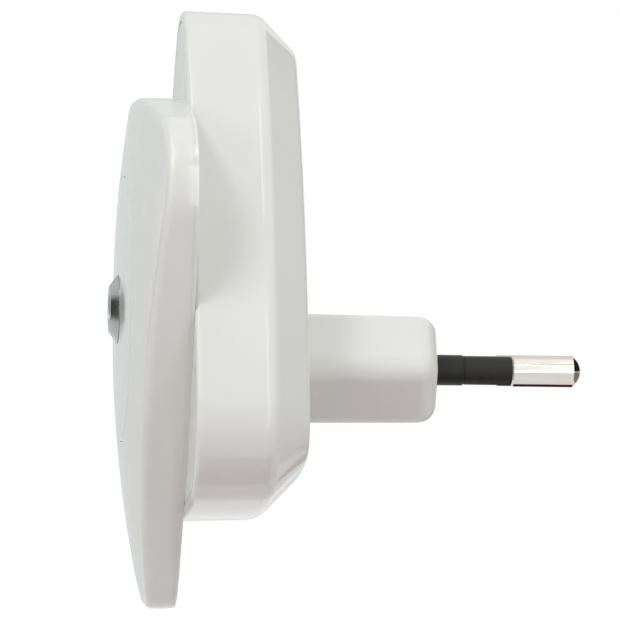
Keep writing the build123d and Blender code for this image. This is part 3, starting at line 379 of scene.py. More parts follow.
def turned(profile, origin, axis, steps=96):
    """Rings of a shape turned about an axis.

    A profile point (radius, along) becomes the origin plus along times the axis plus the
    radius times a unit circle across the axis.
    """
    axis = np.asarray(axis, float) / np.linalg.norm(axis)
    side = np.cross(axis, UP)
    side /= np.linalg.norm(side)
    other = np.cross(side, axis)
    angle = np.linspace(0, 2 * pi, steps, endpoint=False)
    circle = np.cos(angle)[:, None] * side + np.sin(angle)[:, None] * other
    radius, along = np.asarray(profile, float).T
    return np.asarray(origin) + along[:, None, None] * axis + radius[:, None, None] * circle[None]


def plug_ring(plug, inset, steps=10):
    """The plug's six-sided section, moved in by inset, with rounded ridges and corners.

    Each corner of the hexagon moves in with its two sides, and its arc's centre lies inward
    on the bisector by the radius over the cosine of half the turn. The radius shrinks with
    the inset, down to a quarter of itself.
    """
    half_height = plug.height / 2 - inset
    ridge_x = plug.width / 2 + plug.ridge_radius * (1 / cos(plug.flank) - 1)
    ridge_x -= inset / cos(plug.flank)
    flat_x = ridge_x - half_height * tan(plug.flank)
    corners = np.array([
        (flat_x, -half_height), (ridge_x, 0), (flat_x, half_height),
        (-flat_x, half_height), (-ridge_x, 0), (-flat_x, -half_height),
    ])
    radii = np.array([plug.corner_radius, plug.ridge_radius, plug.corner_radius] * 2)
    radii = np.maximum(radii - inset, radii / 4)
    sides = np.roll(corners, -1, axis=0) - corners
    sides /= np.linalg.norm(sides, axis=1)[:, None]
    out = np.stack([sides[:, 1], -sides[:, 0]], axis=1)
    first, last = np.roll(out, 1, axis=0), out
    bisector = (first + last) / np.linalg.norm(first + last, axis=1)[:, None]
    cos_half = (bisector * last).sum(1)
    centres = corners - bisector * (radii / cos_half)[:, None]
    arcs = centres[None] + swing(first * radii[:, None], last * radii[:, None], steps)
    return np.swapaxes(arcs, 0, 1).reshape(-1, 2)


def plug_rings(plug, profile):
    """The plug's section carried through a profile of (inset, y)."""
    return np.stack([on_light(plug_ring(plug, inset), y) for inset, y in profile])


def grid(rings, closed=False):
    """Points and quads of a grid of rings; a closed grid joins its last ring to its first."""
    rows, columns = rings.shape[:2]
    here = np.arange(rows * columns).reshape(rows, columns)
    if closed:
        here = np.vstack([here, here[:1]])
    beside = np.roll(here, -1, axis=1)
    quads = np.stack([here[:-1], beside[:-1], beside[1:], here[1:]], axis=-1)
    return rings.reshape(-1, 3), quads.reshape(-1, 4)


def cap(*loops):
    """Points and triangles that fill a flat outline and leave the loops inside it open."""
    sheet = bmesh.new()
    for loop in loops:
        corners = [sheet.verts.new(point) for point in loop]
        for start, end in zip(corners, corners[1:] + corners[:1]):
            sheet.edges.new((start, end))
    bmesh.ops.triangle_fill(sheet, use_beauty=True, edges=sheet.edges[:])
    sheet.verts.index_update()
    triangles = [[corner.index for corner in face.verts] for face in sheet.faces]
    sheet.free()
    return np.concatenate(loops), np.array(triangles)


def capped(rings):
    """A grid of rings, with a cap on the first ring and on the last."""
    return [grid(rings), cap(rings[0]), cap(rings[-1])]


def make_piece(name, parts, finish, replaced):
    """Weld grids and caps into one closed mesh and put it in place of its CAD nodes."""
    points, faces, count = [], [], 0
    for part_points, part_faces in parts:
        points.append(part_points)
        faces += (part_faces + count).tolist()
        count += len(part_points)
    mesh = bpy.data.meshes.new(name)
    mesh.from_pydata(np.concatenate(points), [], faces)
    skin = bmesh.new()
    skin.from_mesh(mesh)
    bmesh.ops.remove_doubles(skin, verts=skin.verts, dist=WELD)
    bmesh.ops.recalc_face_normals(skin, faces=skin.faces)
    skin.to_mesh(mesh)
    skin.free()
    mesh.shade_smooth()
    mesh.set_sharp_from_angle(angle=SHARP_FROM)
    piece = bpy.data.objects.new(name, mesh)
    bpy.context.scene.collection.objects.link(piece)
    mesh.materials.append(finish)
    shading = piece.modifiers.new("Flat faces first", "WEIGHTED_NORMAL")
    shading.keep_sharp = True
    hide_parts(*replaced)
    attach(piece, "root")


# --- Finishes ---


def set_inputs(tree, node, inputs):
    """Give each input its value, or a link where the value is another node's output."""
    for name, value in inputs.items():
        if isinstance(value, bpy.types.NodeSocket):
            tree.links.new(value, node.inputs[name])
        else:
            node.inputs[name].default_value = value
    return node


def add_node(tree, kind, inputs, **choices):
    """A new node with its choices made and its inputs set."""
    node = tree.nodes.new(kind)
    for name, choice in choices.items():
        setattr(node, name, choice)
    return set_inputs(tree, node, inputs)


def new_finish(name, rgb, roughness, metallic=0.0):
    """A material with its Principled shader, and the texture coordinates it reads."""
    material = bpy.data.materials.new(name)
    material.use_nodes = True
    material.diffuse_color = (*rgb, 1.0)
    tree = material.node_tree
    plain = {"Base Color": (*rgb, 1.0), "Roughness": roughness, "Metallic": metallic}
    shader = set_inputs(tree, tree.nodes["Principled BSDF"], plain)
    place = tree.nodes.new("ShaderNodeTexCoord").outputs["Object"]
    return material, tree, shader, place


def noise(tree, place, per_metre, detail=2.0, stretch=(1.0, 1.0, 1.0)):
    """A noise of so many grains per metre, stretched along the axes."""
    mapping = add_node(tree, "ShaderNodeMapping", {"Vector": place, "Scale": stretch})
    grains = {"Vector": mapping.outputs["Vector"], "Scale": per_metre, "Detail": detail}
    return add_node(tree, "ShaderNodeTexNoise", grains).outputs["Fac"]


def spread(tree, value, low, high, start=0.3, end=0.7):
    """A pattern's value stretched from its start and end to the range low to high."""
    ends = {"Value": value, "From Min": start, "From Max": end, "To Min": low, "To Max": high}
    return add_node(tree, "ShaderNodeMapRange", ends).outputs["Result"]


def blend_colours(tree, value, first, second):
    """Two colours mixed by a pattern."""
    colours = {"Factor": value, "A": (*first, 1.0), "B": (*second, 1.0)}
    return add_node(tree, "ShaderNodeMix", colours, data_type="RGBA").outputs["Result"]


def bump(tree, shader, height, depth, strength):
    """Raise the surface by a pattern, depth in metres."""
    inputs = {"Height": height, "Distance": depth, "Strength": strength}
    raised = add_node(tree, "ShaderNodeBump", inputs).outputs["Normal"]
    set_inputs(tree, shader, {"Normal": raised})


def mottle(tree, shader, rgb, marks, haze, shade, low, high):
    """Darken the colour to a shade of itself by the marks, and vary the roughness by the haze."""
    dark = [part * shade for part in rgb]
    mixed = blend_colours(tree, spread(tree, marks, 0, 1), dark, rgb)
    set_inputs(tree, shader, {"Base Color": mixed, "Roughness": spread(tree, haze, low, high)})


def gloss_plastic(name, rgb, roughness, gloss=0.45, scatter=0.3):
    """Glossy moulded plastic: faint flow marks, a gloss that varies a little, and some depth."""
    material, tree, shader, place = new_finish(name, rgb, roughness)
    flow = noise(tree, place, per_metre=60, detail=3)
    haze = noise(tree, place, per_metre=260, detail=4)
    mottle(tree, shader, rgb, flow, haze, shade=0.985, low=roughness * 0.93, high=roughness * 1.1)
    waves = noise(tree, place, per_metre=70, detail=0)
    bump(tree, shader, waves, depth=0.004 * MM, strength=0.2)
    set_inputs(tree, shader, {
        "IOR": 1.49,
        "Specular IOR Level": gloss,
        "Subsurface Weight": scatter,
        "Subsurface Radius": (1.0, 0.95, 0.85),
        "Subsurface Scale": 0.6 * MM,
    })
    return material


def plated(name, rgb, roughness, grain, across):
    """Plated metal with fine marks: grains per metre, stretched thin across one axis."""
    material, tree, shader, place = new_finish(name, rgb, roughness, metallic=1.0)
    marks = noise(tree, place, grain, detail=4, stretch=across)
    mottle(tree, shader, rgb, marks, marks, shade=0.9, low=roughness * 0.93, high=roughness * 1.1)
    bump(tree, shader, marks, depth=0.0004 * MM, strength=0.4)
    return material


def matt_plastic(name, rgb, roughness, grain=2600, gloss=0.5):
    """Matt moulded plastic with a fine grain."""
    material, tree, shader, place = new_finish(name, rgb, roughness)
    fine = noise(tree, place, grain, detail=3)
    mottle(tree, shader, rgb, fine, fine, shade=0.8, low=roughness * 0.85, high=roughness * 1.15)
    bump(tree, shader, fine, depth=0.02 * MM, strength=0.5)
    set_inputs(tree, shader, {"Specular IOR Level": gloss})
    return material


def smoked_window(name, rgb):
    """Smoked clear plastic over a dark sensor: a dark body under a clear gloss."""
    material, tree, shader, place = new_finish(name, rgb, roughness=0.12)
    depth = noise(tree, place, per_metre=900)
    mottle(tree, shader, rgb, depth, depth, shade=0.6, low=0.08, high=0.16)
    set_inputs(tree, shader, {"Coat Weight": 0.6, "Coat Roughness": 0.04})
    return material


def circuit_board(name, mask, copper):
    """Solder mask over copper tracks: bands of a cell pattern show as raised, paler tracks."""
    material, tree, shader, place = new_finish(name, mask, roughness=0.32)
    cells = {"Vector": place, "Scale": 1 / TRACK_CELL}
    cells = add_node(tree, "ShaderNodeTexVoronoi", cells, distance="CHEBYCHEV", feature="F1")
    track = spread(tree, cells.outputs["Distance"], 0, 1, start=0.4, end=0.44)
    set_inputs(tree, shader, {"Base Color": blend_colours(tree, track, mask, copper)})
    bump(tree, shader, track, depth=0.03 * MM, strength=0.6)
    return material


def banded(name, body, band, bands_per_metre, start, end):
    """Lacquered body with a band of another colour along X."""
    material, tree, shader, place = new_finish(name, body, roughness=0.35)
    waves = {"Vector": place, "Scale": bands_per_metre, "Distortion": 0.2}
    wave = add_node(tree, "ShaderNodeTexWave", waves, bands_direction="X")
    step = spread(tree, wave.outputs["Fac"], 0, 1, start=start, end=end)
    set_inputs(tree, shader, {"Base Color": blend_colours(tree, step, body, band)})
    return material


def dress(finish, *nodes):
    """Give CAD nodes that keep their shapes a finish."""
    for node in nodes:
        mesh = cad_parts[node].data
        mesh.materials.clear()
        mesh.materials.append(finish)


# --- Operators: the pieces ---


class NIGHTLIGHT_OT_rear_shell(bpy.types.Operator):
    """Make the rear shell: the box, its hollow, the screw wells and the plug neck."""

    bl_idname = "nightlight.rear_shell"
    bl_label = "Rear shell"

    def execute(self, context):
        light = context.scene.night_light
        outline, box, plug, pins = light.outline, light.box, light.plug, light.pins
        arcs = triangle_arcs(outline, BOX_TURN)
        rear_y = BOX_FRONT_Y + box.depth
        floor_y = rear_y - box.wall
        panel_rear_y = BOX_FRONT_Y + box.panel_thickness
        column_y = panel_rear_y + box.column_height
        seat_y = column_y + box.seat
        skin = triangle_rings(arcs, box_profile(box, floor_y, panel_rear_y), outline.drop)
        well_radii = [box.well_radius, box.hole_radius, box.column_radius]
        well = stairs(well_radii, [rear_y, seat_y, column_y, floor_y])
        centres = outline.ring_radius * direction(BOX_TURN + np.arange(CORNERS) * 2 * pi / CORNERS)
        wells = [turned(well, (x, 0, z + outline.drop), TO_WALL, steps=64) for x, z in centres]
        root = plug.root_height / 2 - plug.height / 2
        neck = [(-root, rear_y), (0, 0), (plug.face_round * FACE_FLAT_FROM, 0)]
        neck = plug_rings(plug, rounded(neck, [plug.face_round]))
        hollow = plug_rings(plug, [(plug.wall, -plug.face_wall), (plug.wall, floor_y)])
        holes = [pin_hole(pins, plug, side) for side in (-1, 1)]
        parts = [grid(rings) for rings in (skin, neck, hollow, *wells, *holes)]
        parts += [
            cap(skin[0], neck[0], *[rings[0] for rings in wells]),
            cap(skin[-1], hollow[-1], *[rings[-1] for rings in wells]),
            cap(neck[-1], *[rings[0] for rings in holes]),
            cap(hollow[0], *[rings[-1] for rings in holes]),
        ]
        finish = gloss_plastic(
            "Glossy white shell", light.colours.shell, roughness=0.11, gloss=0.5, scatter=0.12
        )
        make_piece("rear_shell", parts, finish, ["back_housing"])
        return {"FINISHED"}


def box_profile(box, floor_y, panel_rear_y):
    """Profile of (inset, y) from the rear face round the rim to the floor of the hollow."""
    lean = tan(box.draft)
    rear_y = BOX_FRONT_Y + box.depth
    rear = lean * box.depth
    inner_chamfer = box.chamfer - box.wall * (2 - sqrt(2))
    inner_rear = box.wall + lean * (floor_y - BOX_FRONT_Y)
    corners = [
        (rear + box.chamfer + box.rear_round / 2, rear_y),
        (rear + box.chamfer, rear_y),
        (rear - box.chamfer * sin(box.draft), rear_y - box.chamfer * cos(box.draft)),
        (0, BOX_FRONT_Y),
        (box.rim_width, BOX_FRONT_Y),
        (box.rim_width, panel_rear_y),
        (box.wall + lean * box.panel_thickness, panel_rear_y),
        (inner_rear - inner_chamfer * sin(box.draft), floor_y - inner_chamfer * cos(box.draft)),
        (inner_rear + inner_chamfer, floor_y),
    ]
    return rounded(corners, [box.rear_round, box.wall_round, box.front_round, 0, 0, 0, 0])


def pin_slope(pins):
    """How far a pin leans towards the other over its length."""
    return (pins.spacing - pins.tip_spacing) / 2 / pins.length


def pin_hole(pins, plug, side):
    """Rings of one pin's hole, level with the face, that follow the pin's lean."""
    collar_hole = pins.collar_radius + pins.recess_gap
    root_hole = pins.root_radius + pins.fit
    profile = stairs([collar_hole, root_hole], [0, -pins.recess, -plug.face_wall])
    rings = turned(profile, (side * pins.spacing / 2, 0, 0), TO_WALL, steps=64)
    rings[..., 0] -= side * pin_slope(pins) * rings[..., 1]
    return rings


class NIGHTLIGHT_OT_front_panel(bpy.types.Operator):
    """Make the front panel that drops into the shell's rim."""

    bl_idname = "nightlight.front_panel"
    bl_label = "Front panel"

    def execute(self, context):
        light = context.scene.night_light
        box = light.box
        arcs = triangle_arcs(light.outline, BOX_TURN)
        edge = box.rim_width + box.panel_gap
        rear_y = BOX_FRONT_Y + box.panel_thickness
        middle = edge + box.wall
        corners = [(middle, BOX_FRONT_Y), (edge, BOX_FRONT_Y), (edge, rear_y), (middle, rear_y)]
        profile = rounded(corners, [box.panel_round, 0], steps=5)
        parts = capped(triangle_rings(arcs, profile, light.outline.drop))
        finish = gloss_plastic(
            "White front panel", light.colours.panel, roughness=0.24, gloss=0.4, scatter=0.1
        )
        make_piece("box_front", parts, finish, ["front_panel"])
        return {"FINISHED"}


class NIGHTLIGHT_OT_diffuser(bpy.types.Operator):
    """Make the domed diffuser with its seat for the lens disc."""

    bl_idname = "nightlight.diffuser"
    bl_label = "Diffuser"

    def execute(self, context):
        light = context.scene.night_light
        plate, lens, outline = light.plate, light.lens, light.outline
        arcs = triangle_arcs(outline, PLATE_TURN)
        flange_y = BOX_FRONT_Y - plate.flange
        outer = dome_edge(plate, arcs, inset=0.0, edge_round=plate.edge_round)
        inner = dome_edge(plate, arcs, inset=plate.wall, edge_round=0.0)[-1:]
        bearings = np.arctan2(outer[-1, :, 1], outer[-1, :, 0])
        seat_y = lens_seat_y(plate, lens)
        recess = lens.radius + lens.gap
        opening = lens.radius - lens.seat_width
        ring = lens.radius + plate.wall
        seat_back = seat_y + lens.seat_thickness
        rim = recess + lens.edge_round * ROUND_FROM
        mid_dome = dome_between(plate, outer[-1, :, :2], rim, bearings, inset=0.0, steps=14)
        inner_dome = dome_between(plate, inner[0, :, :2], ring, bearings, inset=plate.wall, steps=4)
        edge = [(rim, dome_y(plate, rim)), (recess, dome_y(plate, recess)), (recess, seat_y)]
        seat = [(opening, seat_y), (opening, seat_back), (ring, seat_back)]
        turned_part = [*rounded(edge, [lens.edge_round])[1:], *seat]
        side = side_profile(plate, plate.flange + plate.seam, plate.ease_length)
        rings = np.concatenate([
            triangle_rings(arcs, [(side[0, 0] + plate.seam, flange_y), *side]),
            on_light(outer[..., :2], outer[..., 2]),
            mid_dome,
            np.stack([on_light(r * direction(bearings), y) for r, y in turned_part]),
            inner_dome[::-1],
            on_light(inner[..., :2], inner[..., 2]),
            triangle_rings(arcs, [(plate.wall, flange_y)]),
        ])
        rings[..., 2] += outline.drop
        parts = [grid(rings, closed=True)]
        finish = gloss_plastic("Milky diffuser", light.colours.diffuser, roughness=0.13)
        make_piece("diffuser", parts, finish, ["diffuser_cover"])
        return {"FINISHED"}


def dome_centre_y(plate):
    """The dome's sphere has its centre behind the light."""
    return BOX_FRONT_Y - plate.thickness + plate.dome_radius


def dome_y(plate, radius, inset=0.0):
    """Where the dome's skin is at this radius: the sphere's centre less the cathetus."""
    return dome_centre_y(plate) - np.sqrt((plate.dome_radius - inset) ** 2 - radius**2)


def side_profile(plate, start, end, steps=5):
    """Profile of (inset, y) of the plate's side, from so far to so far off the box.

    Near the box the side draws in by the ease times the square of the share of the ease
    length that is left.
    """
    off = np.linspace(start, end, steps)
    left = np.clip(1 - off / plate.ease_length, 0, None)
    return np.column_stack([plate.ease * left**2, BOX_FRONT_Y - off])


def lens_seat_y(plate, lens):
    """The seat lies the disc's edge thickness behind the dome."""
    return float(dome_y(plate, lens.radius)) + lens.edge_thickness


def lens_y(plate, lens, radius, inset=0.0):
    """Where the disc's front is at this radius.

    Its sphere is level with the dome at the disc's edge: the sphere's centre lies its own
    cathetus behind that edge, and the skin lies the cathetus at this radius before it.
    """
    centre_y = dome_y(plate, lens.radius) + sqrt(lens.front_radius**2 - lens.radius**2)
    return centre_y - np.sqrt((lens.front_radius - inset) ** 2 - radius**2)


def dome_edge(plate, arcs, inset, edge_round, steps=10):
    """Points (x, z, y) of the rounded edge between the plate's side and its dome.

    A ball of the edge's radius rolls inside both: its centre lies the radius inside the
    outline and on a sphere smaller than the dome by the radius. The surface swings from the
    side's normal to the dome's normal about that centre.
    """
    centres, radii, normals = arcs
    ball = centres + (radii - inset - edge_round)[:, None] * normals
    sphere = plate.dome_radius - inset - edge_round
    sphere_y = dome_centre_y(plate)
    ball_y = sphere_y - np.sqrt(sphere**2 - (ball**2).sum(1))
    middle = np.column_stack([ball, ball_y])
    if edge_round == 0:
        return middle[None]
    to_dome = (middle - (0, 0, sphere_y)) / sphere
    to_side = np.column_stack([normals, np.zeros(len(normals))])
    return middle + edge_round * swing(to_side, to_dome, steps)


def dome_between(plate, start, radius, bearings, inset, steps):
    """Rings of the dome from an outline to a circle, straight in towards the middle.

    Points move in a straight line, seen from the front, from the outline to the circle at
    the same bearing, and lie on the dome's sphere.
    """
    share_in = np.linspace(0, 1, steps + 1)[1:, None, None]
    flat = start[None] * (1 - share_in) + radius * direction(bearings)[None] * share_in
    return on_light(flat, dome_y(plate, np.linalg.norm(flat, axis=-1), inset))


class NIGHTLIGHT_OT_rear_cover(bpy.types.Operator):
    """Make the plate's rear cover, whose edge shows behind the diffuser."""

    bl_idname = "nightlight.rear_cover"
    bl_label = "Rear cover of the plate"

    def execute(self, context):
        light = context.scene.night_light
        plate = light.plate
        arcs = triangle_arcs(light.outline, PLATE_TURN)
        flange_y = BOX_FRONT_Y - plate.flange
        front_y = BOX_FRONT_Y - plate.back_thickness
        inner = plate.wall + plate.back_gap
        side = side_profile(plate, 0.0, plate.flange - plate.seam, steps=3)
        middle = plate.wall * 2
        profile = [
            (middle, BOX_FRONT_Y), *side, (side[-1, 0] + plate.seam, flange_y),
            (inner, flange_y), (inner, front_y), (middle, front_y),
        ]
        parts = capped(triangle_rings(arcs, profile, light.outline.drop))
        finish = gloss_plastic("Rear cover white", light.colours.diffuser, roughness=0.15)
        make_piece("plate_rear", parts, finish, ["diffuser_back"])
        return {"FINISHED"}


class NIGHTLIGHT_OT_lens(bpy.types.Operator):
    """Make the round lens disc."""

    bl_idname = "nightlight.lens"
    bl_label = "Lens disc"

    def execute(self, context):
        light = context.scene.night_light
        plate, lens, bezel = light.plate, light.lens, light.bezel
        hole = bezel.shank_radius + bezel.fit
        skirt = lens.radius - lens.skirt
        seat_y = lens_seat_y(plate, lens)
        front = np.linspace(hole, lens.radius - lens.edge_round * ROUND_FROM, num=24)
        back = np.linspace(skirt, hole, num=12)
        edge = [
            (front[-1], lens_y(plate, lens, front[-1])),
            (lens.radius, lens_y(plate, lens, lens.radius)), (lens.radius, seat_y),
        ]
        profile = np.concatenate([
            np.column_stack([front, lens_y(plate, lens, front)]),
            rounded(edge, [lens.edge_round])[1:],
            [(skirt, seat_y)],
            np.column_stack([back, lens_y(plate, lens, back, lens.thickness)]),
        ])
        rings = turned(profile, (0, 0, light.outline.drop), TO_WALL, steps=192)
        finish = gloss_plastic("Milky lens", light.colours.lens, roughness=0.12)
        make_piece("lens", [grid(rings, closed=True)], finish, ["lens_disc"])
        return {"FINISHED"}


class NIGHTLIGHT_OT_bezel(bpy.types.Operator):
    """Make the plated bezel and the sensor's window."""

    bl_idname = "nightlight.bezel"
    bl_label = "Sensor bezel"

    def execute(self, context):
        light = context.scene.night_light
        bezel = light.bezel
        middle = (0, 0, light.outline.drop)
        top_y = float(lens_y(light.plate, light.lens, 0.0))
        front_y = top_y - bezel.rise
        window_y = front_y + bezel.lip
        rear_y = top_y + bezel.shank
        corners = [
            (bezel.shank_radius, top_y), (bezel.base_radius, top_y),
            (bezel.base_radius, top_y - bezel.edge), (bezel.front_radius, front_y),
            *stairs([bezel.lip_radius, bezel.bore_radius], [front_y, window_y, rear_y]),
            (bezel.shank_radius, rear_y),
        ]
        radii = [0, bezel.edge / 3, bezel.lip_round, bezel.lip_round, 0, 0, 0]
        rings = turned(rounded(corners, radii, steps=5), middle, TO_WALL, steps=128)
        chrome = plated(
            "Bright plating", light.colours.bezel, roughness=0.24, grain=1500, across=(1.0, 0.2, 1.0)
        )
        make_piece("bezel", [grid(rings, closed=True)], chrome, ["sensor_bezel"])
        edge = bezel.bore_radius - bezel.fit
        glass_back = window_y + bezel.window
        glass = [(0, window_y), (edge, window_y), (edge, glass_back), (0, glass_back)]
        rings = turned(rounded(glass, [GLASS_ROUND, 0], steps=4), middle, TO_WALL)
        smoked = smoked_window("Smoked window", light.colours.window)
        make_piece("window", [grid(rings)], smoked, ["sensor_window"])
        return {"FINISHED"}


def make_pair(pins, profile, closed, finish, name, node):
    """Turn a profile about each pin's axis, which leans towards the other pin."""
    lean = atan(pin_slope(pins))
    for side, hand in ((-1, "left"), (1, "right")):
        start = (side * pins.spacing / 2, 0, 0)
        rings = turned(profile, start, (-side * sin(lean), cos(lean), 0))
        make_piece(f"{name}_{hand}", [grid(rings, closed)], finish, [f"{node}_{hand}"])


class NIGHTLIGHT_OT_pins(bpy.types.Operator):
    """Make the two nickel-plated pins."""

    bl_idname = "nightlight.pins"
    bl_label = "Pins"

    def execute(self, context):
        light = context.scene.night_light
        pins, face_wall = light.pins, light.plug.face_wall
        flange_front = -face_wall - pins.flange_play
        flange_back = flange_front - pins.flange
        cap_radius = (pins.radius**2 + pins.tip_height**2) / (2 * pins.tip_height)
        cap_start = pins.length - pins.tip_height
        rise = np.linspace(0, asin(pins.radius / cap_radius), num=16)[::-1]
        dome = np.column_stack([np.sin(rise), np.cos(rise)]) * cap_radius
        dome[:, 1] += pins.length - cap_radius
        dome[-1, 0] = 0
        shank_radii = [pins.core_radius, pins.flange_radius, pins.core_radius]
        body = [
            (0, -pins.tail), *stairs(shank_radii, [-pins.tail, flange_back, flange_front, pins.sleeve]),
            (pins.radius - pins.shoulder, pins.sleeve), (pins.radius, pins.sleeve + pins.shoulder),
            (pins.radius, (pins.sleeve + cap_start) / 2),
        ]
        nickel = plated(
            "Nickel plating", light.colours.pin, roughness=0.07, grain=900, across=(1.0, 0.25, 1.0)
        )
        profile = np.concatenate([body, dome])
        make_pair(pins, profile, False, nickel, "plug_pin", "pin")
        return {"FINISHED"}


class NIGHTLIGHT_OT_sleeves(bpy.types.Operator):
    """Make the black sleeves of the pins."""

    bl_idname = "nightlight.sleeves"
    bl_label = "Sleeves"

    def execute(self, context):
        light = context.scene.night_light
        pins, root_y = light.pins, -light.plug.face_wall
        inner = pins.core_radius + pins.fit
        groove = pins.sleeve_radius - pins.groove / 2
        radii = [pins.root_radius, pins.collar_radius, groove, pins.sleeve_radius]
        stops = [root_y, -pins.recess, pins.collar, pins.collar + pins.groove, pins.sleeve]
        corners = [(inner, root_y), *stairs(radii, stops), (inner, pins.sleeve)]
        soft = pins.groove / 4
        profile = rounded(corners, [0, 0, 0, soft, 0, 0, soft, soft], steps=4)
        black = matt_plastic("Black sleeve", light.colours.sleeve, roughness=0.45, gloss=0.22)
        make_pair(pins, profile, True, black, "sleeve", "pin_sleeve")
        return {"FINISHED"}


class NIGHTLIGHT_OT_inner_parts(bpy.types.Operator):
    """Finish the parts inside, which keep their CAD shapes."""

    bl_idname = "nightlight.inner_parts"
    bl_label = "Parts inside"

    def execute(self, context):
        even = (1.0, 1.0, 1.0)
        dress(
            plated("Zinc plated screws", (0.55, 0.55, 0.57), 0.3, grain=1200, across=even),
            "housing_screws", "plate_screws", "driver_board_screws", "led_board_screws",
            "pin_holder_screw",
        )
        dress(
            plated("Brass strip", (0.72, 0.55, 0.27), 0.28, grain=700, across=(0.2, 1.0, 1.0)),
            "contact_strip_left", "contact_strip_right", "link_pins",
        )
        dress(
            matt_plastic("Moulded black", (0.022, 0.022, 0.024), 0.55),
            "link_header", "control_chip", "bridge_rectifier", "sensor_shroud",
        )
        dress(smoked_window("Sensor body", (0.02, 0.02, 0.025)), "light_sensor")
        dress(matt_plastic("Grey pin holder", (0.5, 0.51, 0.5), 0.5), "pin_holder")
        white_board = circuit_board("White LED board", (0.78, 0.79, 0.77), (0.7, 0.71, 0.69))
        dress(white_board, "led_board")
        green_board = circuit_board("Green driver board", (0.03, 0.19, 0.08), (0.07, 0.3, 0.12))
        dress(green_board, "driver_board")
        dress(banded("LED phosphor", (0.85, 0.83, 0.75), (0.85, 0.65, 0.1), 300, 0.4, 0.6), "leds")
        dress(matt_plastic("Film capacitor", (0.7, 0.5, 0.05), 0.4, grain=1500), "film_capacitor")
        blue = gloss_plastic("Capacitor sleeve", (0.03, 0.04, 0.16), 0.3, gloss=0.5, scatter=0.0)
        dress(blue, "smoothing_capacitor")
        green = banded("Green resistor", (0.1, 0.28, 0.16), (0.6, 0.4, 0.05), 250, 0.7, 0.75)
        dress(green, "fuse_resistor")
        dark = banded("Chip resistors", (0.03, 0.03, 0.03), (0.6, 0.6, 0.6), 200, 0.8, 0.85)
        dress(dark, "chip_resistors")
        return {"FINISHED"}


# --- Operator: the stage ---


# Lamps: name, azimuth, elevation, distance, the two spans and whether gloss shows them.
LAMPS = (
    ("above", 90, 85, 0.8, (0.7, 0.7), True),
    ("key", 45, 46, 0.8, (0.2, 0.2), True),
    ("strip", 114, 15, 0.8, (0.14, 0.9), True),
    ("front", 40, 10, 0.9, (0.5, 0.5), True),
    ("rear", 160, 40, 0.8, (0.5, 0.5), False),
)

# Cards that only glossy surfaces see: name, the place they face, azimuth, elevation and
# distance from it, the two spans and the colour.
AT_LIGHT = (0.0, -0.011, 0.007)
BEHIND_PINS = (0.0, 0.048, 0.0)
BESIDE_PINS = (0.0, 0.058, 0.0)
UNDER_PINS = (0.0, 0.0185, 0.0)
UNDER_NECK = (0.015, -0.003, 0.0)
BESIDE_LIGHT = (0.0, 0.14, 0.007)
BESIDE_TOP = (0.28, 0.145, 0.007)
CARDS = (
    ("card_front", AT_LIGHT, -22, 5, 0.7, (0.44, 0.28), (0.003, 0.008, 0.01)),
    ("card_front_low", AT_LIGHT, -18, -8, 0.25, (0.2, 0.045), (0.12, 0.1, 0.08)),
    ("card_wall", BEHIND_PINS, 192, 20, 0.7, (1.3, 0.5), (0.02, 0.024, 0.028)),
    ("card_wall_low", BEHIND_PINS, 190, -22, 0.14, (0.3, 0.1), (0.3, 0.26, 0.18)),
    ("card_far", AT_LIGHT, -85, 5, 0.7, (0.6, 0.8), (0.72, 0.76, 0.75)),
    ("card_under", UNDER_PINS, -90, -42, 0.03, (0.016, 0.048), (0.12, 0.005, 0.02)),
    ("card_neck", UNDER_NECK, 90, -68, 0.08, (0.045, 0.06), (0.3, 0.02, 0.12)),
    ("card_pin_side", BESIDE_PINS, 90, 22, 0.3, (0.028, 0.24), (1.45, 1.41, 1.36)),
    ("card_pin_top", BESIDE_PINS, 90, 77, 0.3, (0.028, 0.2), (1.45, 1.39, 1.3)),
    ("card_strip", BESIDE_LIGHT, 90, 15, 0.7, (0.08, 0.84), (6.0, 6.0, 6.0)),
    ("card_crest", BESIDE_TOP, 90, 89, 0.7, (0.07, 0.26), (6.0, 6.0, 6.0)),
    ("card_key", AT_LIGHT, 40, 50, 0.7, (0.6, 0.6), (3.2, 3.2, 3.2)),
)

FLOOR_COLOUR = (0.6, 0.56, 0.57)
FLOOR_REACH = 4.0  # from the middle to each side
FLOOR_GLOW = 1.14  # strength of the white that the floor shows directly
FLOOR_WHITE = 0.88  # share of that white in what it shows


class NIGHTLIGHT_OT_stage(bpy.types.Operator):
    """Make the floor, the surround, the lamps, the cards and the camera."""

    bl_idname = "nightlight.stage"
    bl_label = "Stage"

    def execute(self, context):
        scene = context.scene
        settings = scene.night_light.stage
        scene.view_settings.view_transform = "Standard"
        make_floor(scene, settings)
        make_surround(scene, settings)
        for lamp in LAMPS:
            make_lamp(scene, settings, *lamp)
        for card in CARDS:
            make_card(scene, *card)
        make_camera(scene, settings)
        return {"FINISHED"}


def look_direction(azimuth, elevation):
    """From the object towards a viewer: azimuth 0 is in front, at -Y, and 90 degrees is at +X."""
    return Vector((sin(azimuth) * cos(elevation), -cos(azimuth) * cos(elevation), sin(elevation)))


def seen_directly(tree):
    """One for rays from the camera, from glossy surfaces and through clear ones, else nought."""
    path = tree.nodes.new("ShaderNodeLightPath")
    total = path.outputs["Is Camera Ray"]
    for kind in ("Is Glossy Ray", "Is Transmission Ray"):
        either = {0: total, 1: path.outputs[kind]}
        total = add_node(tree, "ShaderNodeMath", either, operation="MAXIMUM").outputs[0]
    return total


def show_by_ray(tree, output, factor, lit, seen):
    """Mix what is lit with what is seen directly: a factor of one shows only the second."""
    both = {"Fac": factor, 1: lit.outputs[0], 2: seen.outputs[0]}
    mixer = add_node(tree, "ShaderNodeMixShader", both)
    set_inputs(tree, tree.nodes[output], {"Surface": mixer.outputs["Shader"]})


